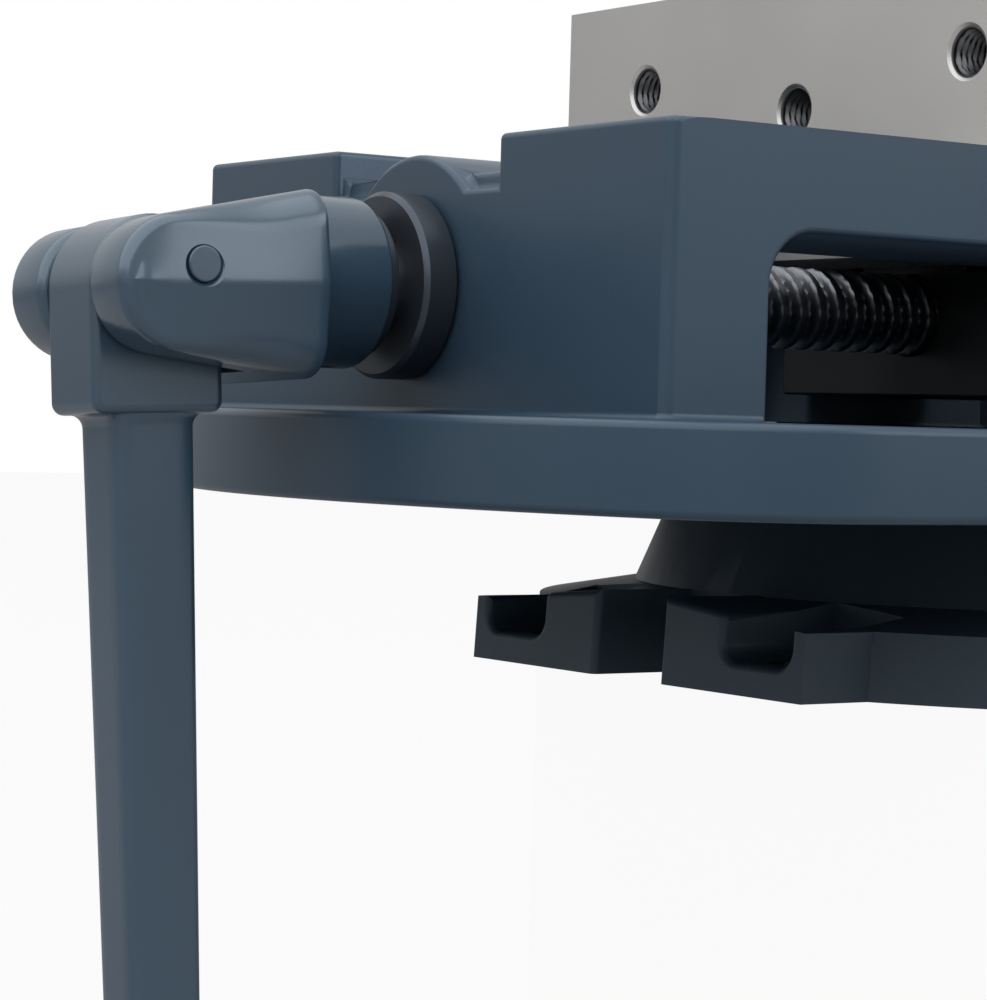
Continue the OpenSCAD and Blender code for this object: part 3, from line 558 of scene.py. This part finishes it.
# Crank hub: a fork whose cheeks have two drafts that meet in a ridge, with a round nose that lies below the
# screw axis and a round neck
hubLook = {
    "axisHeight": 75.85,
    "turn": -2.2,                       # degrees about the screw axis
    "nose": (-225.4, -3.2), "noseR": 12.1,
    "step": -197.4, "top": 15.1, "bottom": -18.9, "low": -1.9, "stepEdge": 1.1,
    "halfWidth": 23.95, "slotHalf": 9.25, "slotEnd": -207.0,
    "longEdge": (2.6, 7.0),             # radius of the long edges, at the nose and at the step
    "edgeGrows": (-4.0, 20.0),          # where it grows, along X from the nose's centre
    "slotEdge": 2.0,                    # radius of the edges along the slot
    "crown": 1.2, "crownAt": 5.0,       # draft of a cheek up to its middle, in full from this half height
    "across": (0.6, 0.2, 0.08, 0, -0.08, -0.2, -0.6),       # columns of a cheek, as shares of its half height
    "ridge": 0.06,                      # how soft the ridge between the two drafts is
    "neckStart": -192.2, "neckEnd": -178.35, "neckR": 15.95, "neckEdge": 1.2,
    "hexHalf": 7.1, "hexDepth": 15.8,
    "pin": (-222.0, 3.24, 1.0),         # place, radius and countersink
    "grub": (-185.3, 3.02, 7.0),        # place, radius and where its hole starts
    "overrun": 1.0,
    "noseFrom": 4,                      # degrees round the nose at which the rows start
    "edgeTurns": (0, 22, 45, 68, 90),   # rows round the edges of the step and the neck's end, in degrees
    "rows": {"nose": 16, "slot": 9, "solid": 7, "neck": 7, "longEdge": 8, "slotEdge": 5},
    "stripColumns": 9, "grubColumns": 40,
    "smoothBelow": 34,                  # faces that meet at less than this are shaded as one
}


# Height over the nose's centre of the side outline drawn in by depth: its circle, then the tangent
def forkHeight(x, sign, depth):
    look = hubLook
    run = look["step"] - look["nose"][0]
    rise = sign * ((look["top"] if sign > 0 else look["bottom"]) - look["nose"][1])
    touch = math.atan2(rise, run) + math.acos(look["noseR"] / math.hypot(run, rise))
    r, dx = look["noseR"] - depth, x - look["nose"][0]
    circle = np.sqrt(np.maximum(r * r - dx * dx, 0))
    tangent = r * math.sin(touch) + (dx - r * math.cos(touch)) * math.tan(touch - math.pi / 2)
    return sign * np.where(dx < r * math.cos(touch), circle, tangent)


# Outer and inner profile of the right cheek at each x, both from an inner edge round: a quarter circle on
# each long edge, and between them the two drafts
def forkSides(x):
    look = hubLook
    x = x[:, None]
    centreX, centreZ = look["nose"]
    start, end = look["edgeGrows"]
    t = np.clip((x - centreX - start) / (end - start), 0, 1)
    small, large = look["longEdge"]
    big = small + (large - small) * t * t * (3 - 2 * t)
    reach = look["noseR"] + np.minimum(x - centreX, 0)
    slotY = look["slotHalf"] + look["slotEdge"]

    def quarter(radius, count, sign):
        depth = np.minimum(radius * (1 - np.cos(np.radians(np.linspace(0, 90, count)))), reach)
        return np.sqrt(radius ** 2 - (radius - depth) ** 2), centreZ + forkHeight(x, sign, depth)

    def longSide(sign):
        out, z = quarter(big, look["rows"]["longEdge"], sign)
        y = np.hstack([np.full(x.shape, slotY), look["halfWidth"] - look["crown"] - big + out])
        return np.stack([y, np.hstack([centreZ + forkHeight(x, sign, 0), z])], -1)

    def slotSide(sign):
        out, z = quarter(look["slotEdge"], look["rows"]["slotEdge"], sign)
        return np.stack([slotY - out, z], -1)

    top, low = longSide(1), longSide(-1)
    middle, half = (top[:, -1:, 1] + low[:, -1:, 1]) / 2, (top[:, -1:, 1] - low[:, -1:, 1]) / 2
    swell = look["crown"] * np.minimum(half / look["crownAt"], 1)
    u = np.array(look["across"])
    cheek = np.stack([top[:, -1:, 0] + swell * (1 - np.hypot(u, look["ridge"])), middle + half * u], -1)
    outer = np.concatenate([top, cheek, low[:, ::-1]], 1)
    inner = np.concatenate([slotSide(-1), slotSide(1)[:, ::-1]], 1)
    return [np.dstack([np.broadcast_to(x, yz.shape[:2]), yz]) for yz in (outer, inner)]


def atX(x, yz):
    return np.column_stack([np.full(len(yz), x), yz])


# Distance from the centre to the side of a hexagon, whose flats are square to angle 0
def hexRadius(angle, half):
    turn = (angle + math.pi / 6) % (math.pi / 3) - math.pi / 6
    return half / np.cos(turn)


# Rings from the step to the neck's end: they shrink over the step's edge, ease from the fork's outline to
# the neck's circle, and end in the hexagon's hole
def neckRings(ring):
    look = hubLook
    away = ring - [0, look["low"]]
    away /= np.linalg.norm(away, axis=1)[:, None]
    angle = np.arctan2(ring[:, 1], ring[:, 0])
    circle = np.column_stack([np.cos(angle), np.sin(angle)])
    turns = np.radians(look["edgeTurns"])
    rings = [atX(look["step"] + look["stepEdge"] * math.sin(t),
                 ring - away * look["stepEdge"] * (1 - math.cos(t))) for t in turns]
    face, goal = rings[-1], atX(look["neckStart"], circle * look["neckR"])
    for t in np.linspace(0, 1, look["rows"]["neck"])[1:]:
        eased = 1 - (1 - t) ** 2
        between = face * (1 - eased) + goal * eased
        between[:, 0] = face[0, 0] + (look["neckStart"] - face[0, 0]) * t
        rings.append(between)
    rings += [atX(look["neckEnd"] - look["neckEdge"] * (1 - math.sin(t)),
                  circle * (look["neckR"] - look["neckEdge"] * (1 - math.cos(t)))) for t in turns]
    hexagon = circle * hexRadius(angle - math.pi / 2, look["hexHalf"])[:, None]
    return np.array(rings + [atX(look["neckEnd"] - depth, hexagon) for depth in (0, look["hexDepth"])])


def makeHub():
    look = hubLook
    rows = look["rows"]
    centre, half = look["nose"][0], look["halfWidth"]
    nose = centre - look["noseR"] * np.cos(np.radians(np.linspace(look["noseFrom"], 90, rows["nose"])))
    slotted = np.concatenate([nose, np.linspace(centre, look["slotEnd"], rows["slot"])[1:]])
    solid = np.linspace(look["slotEnd"], look["step"], rows["solid"])
    outer, inner = forkSides(np.concatenate([slotted, solid[1:]]))
    inner = inner[:len(slotted)]

    def strip(column):
        points = np.repeat(outer[len(slotted) - 1:, column, None], look["stripColumns"], 1)
        points[..., 1] *= np.linspace(1, -1, look["stripColumns"])
        return points

    def loop(side, otherSide, row):
        return np.vstack([side, under[row, 1:-1], otherSide, over[row, 1:-1][::-1]])

    over, under, flip = strip(0), strip(-1), np.array([1, -1, 1])
    tip = np.vstack([outer[0], inner[0, 1:-1]])
    parts = []
    for side in (np.ones(3), flip):
        parts += [(outer * side, False), (inner * side, False), (tip * side, False)]
    rings = neckRings(loop(outer[-1], outer[-1, ::-1] * flip, -1)[:, 1:])
    wall = loop(inner[-1, ::-1], inner[-1] * flip, 0)
    parts += [(over, False), (under, False), (wall, False), (rings, True), (rings[-1], False)]
    hub = linkMesh("crankHubFork", sewMesh("crankHubFork", parts))

    pinX, pinR, mouth = look["pin"]
    past, wide = look["overrun"], pinR + mouth + look["overrun"]
    bore = turned("pinBore", [(-half - past, wide), (mouth - half, pinR),
                              (half - mouth, pinR), (half + past, wide)])
    grubX, grubR, grubFrom = look["grub"]
    grub = turned("grubBore", [(grubFrom, grubR), (look["neckR"] + 2 * past, grubR)],
                  columns=look["grubColumns"])
    combine(hub, "DIFFERENCE", placed(bore, shifted(pinX, 0, 0), spun(90, "Z")),
            placed(grub, shifted(grubX, 0, 0), spun(90, "Y")))
    placed(hub.data, shifted(0, 0, look["axisHeight"]), spun(look["turn"], "X"))
    shadeSoft(hub.data, look["smoothBelow"])
    seatPiece(hub, "screw", "body_paint", "crankPaint", "crank_hub")


makeHub()

# Crank arm: a block round the pin, a tapered lever with swelling faces, and an eye for the grip's spindle
armLook = {
    "pin": (-222.0, 3.25),      # place and radius
    "lean": -2.0, "back": -1.6,
    "blockR": 12.88, "blockLow": -3.0, "blockEnd": -25.4, "blockHalf": 9.08,
    "blockEdge": 1.5, "blockCorner": 2.2,
    "leverTop": (8.25, 7.75), "leverEnd": (6.8, 6.35),      # half sizes along X and Y
    "squareness": 6.0,
    "flare": (2.4, 0.3),        # how far the lever widens into the block, along X and Y
    "overlap": 1.5,             # how far the lever runs into the block
    "eye": -170.0, "eyeR": 12.98, "eyeHalf": 8.98, "eyeEdge": 1.3, "eyeBore": 5.02,
    "boreHalf": 20.0,
    "leverRows": (9, 40), "leverColumns": 72, "boreColumns": 48,
    "archRows": 33, "cornerRows": 7, "edgeRows": 7,
}


# Side outline of the block drawn in by depth: a half circle on a box with two round lower corners
def blockRing(y, depth):
    look = armLook
    r, corner = look["blockR"] - depth, look["blockCorner"] - depth
    cx, cz = look["blockR"] - look["blockCorner"], look["blockEnd"] + look["blockCorner"]
    over = np.radians(np.linspace(0, 180, look["archRows"]))
    turns = np.radians(np.linspace(180, 270, look["cornerRows"]))
    left = np.column_stack([-cx + corner * np.cos(turns), cz + corner * np.sin(turns)])
    arch = np.column_stack([r * np.cos(over), look["blockLow"] + r * np.sin(over)])
    outline = np.vstack([arch, left, left[::-1] * [-1, 1]])
    return np.column_stack([outline[:, 0], np.full(len(outline), y), outline[:, 1]])


# Section of the lever at each z: |x / a| ** n + |y / b| ** n = 1, whose half sizes a and b taper, and widen
# by a quarter circle into the block
def leverMesh():
    look = armLook
    start, end = look["blockEnd"], look["eye"]
    flareRows, rows = look["leverRows"]
    near = start - look["flare"][0] * (1 - np.cos(np.radians(np.linspace(0, 90, flareRows))))
    z = np.concatenate([[start + look["overlap"]], near, np.linspace(near[-1], end, rows)[1:]])[:, None]
    share = np.clip((start - z) / (start - end), 0, 1)
    below = np.clip((start - z) / look["flare"][0], 0, 1)
    widen = 1 - np.sqrt(1 - (1 - below) ** 2)
    a, b = (top * (1 - share) + bottom * share + flare * widen
            for top, bottom, flare in zip(look["leverTop"], look["leverEnd"], look["flare"]))
    t = np.linspace(0, 2 * np.pi, look["leverColumns"], endpoint=False)
    power = 2 / look["squareness"]
    x = a * np.sign(np.cos(t)) * np.abs(np.cos(t)) ** power
    y = b * np.sign(np.sin(t)) * np.abs(np.sin(t)) ** power
    return gridMesh("armLever", np.stack([x, y, np.broadcast_to(z, x.shape)], -1) * mm)


# Quarter circle that rounds an edge, as (place, how far it is drawn in), from the end face back
def edgeSteps(half, edge):
    turns = np.radians(np.linspace(0, 90, armLook["edgeRows"]))
    return [(half - edge * (1 - math.cos(t)), edge * (1 - math.sin(t))) for t in turns]


def makeArm():
    look = armLook
    steps = edgeSteps(look["blockHalf"], look["blockEdge"])
    rings = [blockRing(y, depth) for y, depth in steps] + [blockRing(-y, depth) for y, depth in steps[::-1]]
    arm = linkMesh("crankArmLever", gridMesh("armBlock", np.array(rings) * mm))

    steps = [(x, look["eyeR"] - depth) for x, depth in edgeSteps(look["eyeHalf"], look["eyeEdge"])]
    eyePoint = (0, 0, look["eye"] * mm)
    eye = turned("armEye", [(-x, r) for x, r in steps] + steps[::-1], eyePoint)
    combine(arm, "UNION", leverMesh(), eye)

    (pinX, pinR), long, columns = look["pin"], look["boreHalf"], look["boreColumns"]
    pinBore = turned("armPinBore", [(-long, pinR), (long, pinR)], columns=columns)
    eyeBore = turned("armEyeBore", [(-long, look["eyeBore"]), (long, look["eyeBore"])], eyePoint, columns)
    combine(arm, "DIFFERENCE", placed(pinBore, shifted(-look["back"], 0, 0), spun(90, "Z")), eyeBore)
    placed(arm.data, shifted(0, 0, hubLook["axisHeight"]), spun(hubLook["turn"], "X"), shifted(pinX, 0, 0),
           spun(look["lean"], "Y"), shifted(look["back"], 0, 0))
    shadeSoft(arm.data)
    weighNormals(arm)
    seatPiece(arm, "arm", "body_paint", "crankPaint", "crank_arm")


makeArm()
print("castings made")

# Jaws and small pieces keep their form and get a fine edge:
# (node, piece, edge in mm, its segments, body, slot, finish)
finePieces = [
    ("movable_jaw", "movableJawBlock", 0.7, 3, "jaw", "jaw_steel", "groundSteel"),
    ("fixed_jaw", "fixedJawBlock", 0.7, 3, "bed", "jaw_steel", "groundSteel"),
    ("movable_jaw_plate", "movablePlate", 0.6, 2, "jaw", "hardened_steel", "plateSteel"),
    ("fixed_jaw_plate", "fixedPlate", 0.6, 2, "bed", "hardened_steel", "plateSteel"),
    ("jaw_nut", "jawNutBlock", 1.0, 2, "jaw", "nut_iron", "nutIron"),
    ("swivel_pivot", "swivelPivotPost", 0.4, 2, "base", "hardened_steel", "turnedSteel"),
    ("pivot_washer", "pivotWasherRing", 0.3, 2, "base", "hardened_steel", "turnedSteel"),
    ("pivot_screw", "pivotScrewCap", 0.3, 2, "base", "black_steel", "blackSteel"),
    ("t_bolts", "clampBoltPair", 0.4, 2, "bed", "black_steel", "blackSteel"),
    ("clamp_washers", "clampWasherPair", 0.3, 2, "bed", "hardened_steel", "turnedSteel"),
    ("clamp_nuts", "clampNutPair", 0.6, 2, "bed", "black_steel", "blackSteel"),
    ("front_bush", "frontBushRing", 0.3, 2, "bed", "bush_bronze", "bushBronze"),
    ("rear_bush", "rearBushRing", 0.3, 2, "bed", "bush_bronze", "bushBronze"),
    ("fixed_race", "fixedRaceRing", 0.3, 2, "bed", "hardened_steel", "turnedSteel"),
    ("turning_race", "turningRaceRing", 0.3, 2, "screw", "hardened_steel", "turnedSteel"),
    ("screw_collar", "screwCollarRing", 0.3, 2, "screw", "black_steel", "blackSteel"),
    ("collar_set_screw", "collarGrub", 0.2, 2, "screw", "black_steel", "blackSteel"),
    ("hub_washer", "hubWasherRing", 0.35, 2, "screw", "hardened_steel", "blackSteel"),
    ("hub_set_screw", "hubGrub", 0.2, 2, "screw", "black_steel", "blackSteel"),
    ("hinge_pin", "hingePinBar", 0.35, 2, "screw", "body_paint", "crankPaint"),
    ("grip_spindle", "gripSpindleBar", 0.4, 2, "arm", "hardened_steel", "turnedSteel"),
    ("grip", "gripSleeve", 0.6, 2, "grip", "grip_plastic", "gripPlastic"),
    ("fixed_jaw_keys", "fixedJawKeyPair", 0.4, 2, "bed", "hardened_steel", "plateSteel"),
    ("fixed_jaw_screws", "fixedJawScrewPair", 0.5, 2, "bed", "black_steel", "blackSteel"),
    ("fixed_plate_screws", "fixedPlateScrewPair", 0.4, 2, "bed", "black_steel", "blackSteel"),
    ("movable_plate_screws", "movablePlateScrewPair", 0.4, 2, "jaw", "black_steel", "blackSteel"),
    ("jaw_segment", "jawSegmentBall", 0.2, 2, "jaw", "hardened_steel", "turnedSteel"),
    ("jaw_set_screw", "jawGrub", 0.3, 2, "jaw", "black_steel", "blackSteel"),
]
for node, name, edge, segments, body, slot, material in finePieces:
    softCopy(node, name, [(edge, segments, allEdges)], body, slot, material)
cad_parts["thrust_balls"].data.materials.clear()
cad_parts["thrust_balls"].data.materials.append(finish["turnedSteel"])
print("jaws and small pieces made:", len(finePieces))

# Lead screw: a threaded bar, left-handed, with a turned journal in front and a turned tail behind
screwLook = {
    "crest": 8.5, "pitch": 5.0, "depth": 2.1,
    "crestShare": 0.3, "flankShare": 0.38,      # width of a crest and of a flank, as shares of half a pitch
    "from": -125.9, "to": 95.0, "runOut": 2.0,  # the thread fades over its run-out at both ends
    "frontTip": [(0.01, 6.4), (0.6, 7.0)],      # from the front end
    "front": [(-178.3, 7.0), (-178.3, 8.0), (-177.9, 8.5), (-131, 8.5),
              (-131, 14.6), (-130.6, 15), (-126.4, 15), (-126, 14.6), (-126, 8.4)],
    "rear": [(94.5, 6.0), (143.4, 6.0)],
    "rearTip": [(-0.01, 5.4)],                  # from the rear end
    "rowsPerTurn": 18, "columns": 72,
}


# Radius is the crest less a smooth wave of the turn number x / pitch - angle / full turn, flat on the crests
def threadMesh(height):
    look = screwLook
    start, end = look["from"], look["to"]
    x = np.linspace(start, end, int((end - start) / look["pitch"] * look["rowsPerTurn"]))
    t = np.linspace(0, 2 * np.pi, look["columns"], endpoint=False)
    turn = (x[:, None] / look["pitch"] - t[None, :] / (2 * np.pi)) % 1
    away = np.abs(turn - 0.5) * 2
    flank = np.clip((away - look["crestShare"]) / look["flankShare"], 0, 1)
    dip = flank * flank * (3 - 2 * flank)
    fade = np.clip(np.minimum(x - start, end - x) / look["runOut"], 0, 1)[:, None]
    radius = look["crest"] - look["depth"] * dip * fade
    y, z = radius * np.cos(t), radius * np.sin(t) + height
    return gridMesh("leadScrewThread", np.stack([np.broadcast_to(x[:, None], y.shape), y, z], -1) * mm)


def makeLeadScrew():
    look = screwLook
    lo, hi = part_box("lead_screw")
    axis = (0, 0, (lo.z + hi.z) / 2)
    front = [(lo.x / mm + x, r) for x, r in look["frontTip"]] + look["front"]
    rear = look["rear"] + [(hi.x / mm + x, r) for x, r in look["rearTip"]]
    thread = linkMesh("leadScrewThread", threadMesh(axis[2] / mm))
    seatPiece(thread, "screw", "hardened_steel", "threadSteel", "lead_screw")
    for name, profile in (("leadScrewJournal", front), ("leadScrewTail", rear)):
        seatPiece(linkMesh(name, turned(name, profile, axis)), "screw", "hardened_steel", "turnedSteel")


makeLeadScrew()

# Tapped holes: a thin sleeve whose inside is the thread
holeLook = {
    "outer": 4.97, "root": 4.75, "crest": 4.1, "pitch": 1.5,
    "mouth": 0.7, "leadIn": 1.2, "floorGap": 0.1,   # where the thread starts, deepens in full and stops
    "y": 51.2, "z": 124.45, "depth": 26,            # the outer holes of both jaws
    "middleZ": 116.55, "middleDepth": 18,           # the hole that holds the jaw's set screw
    "rowsPerTurn": 8, "columns": 48,
}


# Inner radius is a saw wave of s / pitch - angle / full turn, and a plain outer wall closes the sleeve
def threadSleeve(name, x, y, z, depth, direction, body):
    look = holeLook
    rows = int(depth / look["pitch"] * look["rowsPerTurn"])
    s = np.linspace(look["mouth"], depth - look["floorGap"], rows)
    t = np.linspace(0, 2 * np.pi, look["columns"], endpoint=False)
    phase = (s[:, None] / look["pitch"] - t[None, :] / (2 * np.pi) * direction) % 1
    swing = 1 - np.abs(phase * 2 - 1)
    lead = np.clip((s - look["mouth"]) / look["leadIn"], 0, 1)[:, None]
    inner = look["root"] - (look["root"] - look["crest"]) * swing * lead
    outer = np.full((1, look["columns"]), look["outer"])
    radius = np.vstack([outer, inner, outer, outer])
    along = np.concatenate([[s[0]], s, [s[-1]], [s[0]]])[:, None] * np.ones(look["columns"])
    points = np.stack([x / mm + direction * along, y + radius * np.cos(t), z + radius * np.sin(t)], -1)
    seatPiece(linkMesh(name, gridMesh(name, points * mm, caps=False)), body, "jaw_steel", "boreSteel")


def makeHoles():
    look = holeLook
    front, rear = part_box("movable_jaw")[0].x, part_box("fixed_jaw")[1].x
    for label, side in (("Left", 1), ("Right", -1)):
        y = side * look["y"]
        threadSleeve("movableThread" + label, front, y, look["z"], look["depth"], 1, "jaw")
        threadSleeve("fixedThread" + label, rear, y, look["z"], look["depth"], -1, "bed")
    threadSleeve("movableThreadMiddle", front, 0, look["middleZ"], look["middleDepth"], 1, "jaw")


makeHoles()
print("threads made")

# Stage: a pale floor and a pale stand under the base, both near white to the camera
stageLook = {
    "floor": (150, 150, 152),
    "glow": 0.94, "shine": 0.12,                # white added for the camera and for reflections
    "floorDrop": 2.0, "floorHalf": 6000.0,      # under the object's lowest point, and its reach
    "stand": 78.0, "standTop": -0.1, "standFoot": 0.1,      # half width, top, and foot over the floor
}


def makeStageFinish():
    material = bpy.data.materials.new("stagePale")
    material.use_nodes = True
    tree = material.node_tree
    tree.nodes.clear()
    path = addNode(tree, "ShaderNodeLightPath")
    matte = addNode(tree, "ShaderNodeBsdfDiffuse", Color=linear(stageLook["floor"]))
    white = addNode(tree, "ShaderNodeEmission", Color=(1, 1, 1, 1), Strength=1.0)
    shiny = addMath(tree, "MULTIPLY", path.outputs["Is Glossy Ray"], stageLook["shine"])
    seen = addMath(tree, "MULTIPLY_ADD", path.outputs["Is Camera Ray"], stageLook["glow"], shiny)
    mixed = addNode(tree, "ShaderNodeMixShader", i0=seen, i1=matte.outputs[0], i2=white.outputs[0])
    addNode(tree, "ShaderNodeOutputMaterial", Surface=mixed.outputs[0])
    return material


def makeStage():
    look = stageLook
    pale = makeStageFinish()
    low = cadBox[0][2] - look["floorDrop"] * mm
    corners = np.array([(-1, -1, 0), (1, -1, 0), (1, 1, 0), (-1, 1, 0)]) * look["floorHalf"] * mm
    corners[:, 2] = low
    floor = bpy.data.meshes.new("floor")
    floor.from_pydata(corners.tolist(), [], [(0, 1, 2, 3)])
    top, foot = look["standTop"] * mm, low + look["standFoot"] * mm
    size = Matrix.Diagonal((2 * look["stand"] * mm, 2 * look["stand"] * mm, top - foot, 1))
    stand = bpy.data.meshes.new("stand")
    work = bmesh.new()
    bmesh.ops.create_cube(work, size=1.0, matrix=Matrix.Translation((0, 0, (top + foot) / 2)) @ size)
    work.to_mesh(stand)
    work.free()
    for mesh in (floor, stand):
        mesh.materials.append(pale)
        linkMesh(mesh.name, mesh)


makeStage()

# Light: a wide soft box overhead and one towards the camera's right, in a pale room
lamps = [
    {"name": "overhead", "place": (-0.72, -0.12, 1.32), "size": 3.2, "power": 41, "aim": (-0.1, 0, 0.05)},
    {"name": "side", "place": (1.06, -1.44, 0.92), "size": 1.1, "power": 7, "aim": (-0.05, 0, 0.05)},
]


def addLamps():
    for look in lamps:
        lamp = bpy.data.lights.new(look["name"], "AREA")
        lamp.shape = "SQUARE"
        lamp.size = look["size"]
        lamp.energy = look["power"]
        holder = bpy.data.objects.new(look["name"], lamp)
        toward = Vector(look["aim"]) - Vector(look["place"])
        holder.rotation_euler = toward.to_track_quat("-Z", "Y").to_euler()
        holder.location = look["place"]
        bpy.context.scene.collection.objects.link(holder)


# Each line is (from, to, level there, level here), by the height or the side that a ray goes to
roomLook = {
    "plain": (-0.45, 0.45, 0.27, 0.62),     # by height
    "sides": (-0.8, 0.8, 1.45, 0.45),       # from the camera's right to its left, times the plain level
    "gloss": (-0.1, 0.25, 0.27, 0.78),      # by height, for reflections
}


# The room is white to the camera. Other rays see it fade from pale above to dim below
def addRoom():
    world = bpy.data.worlds.new("room")
    bpy.context.scene.world = world
    world.use_nodes = True
    tree = world.node_tree
    tree.nodes.clear()
    path = addNode(tree, "ShaderNodeLightPath")
    place = addNode(tree, "ShaderNodeTexCoord")
    apart = addNode(tree, "ShaderNodeSeparateXYZ", Vector=place.outputs["Generated"])

    def fade(way, label):
        low, high, below, above = roomLook[label]
        node = addNode(tree, "ShaderNodeMapRange", {"interpolation_type": "SMOOTHSTEP"},
                       Value=apart.outputs[way], From_Min=low, From_Max=high, To_Min=below, To_Max=above)
        return node.outputs[0]

    plain = addMath(tree, "MULTIPLY", fade("Z", "plain"), fade("Y", "sides"))
    level = addMix(tree, path.outputs["Is Glossy Ray"], plain, fade("Z", "gloss"))
    seen = addMix(tree, path.outputs["Is Camera Ray"], level, 1.0)
    glow = addNode(tree, "ShaderNodeBackground", Color=(1, 1, 1, 1), Strength=seen)
    addNode(tree, "ShaderNodeOutputWorld", Surface=glow.outputs[0])


addLamps()
addRoom()
print("stage and light set")
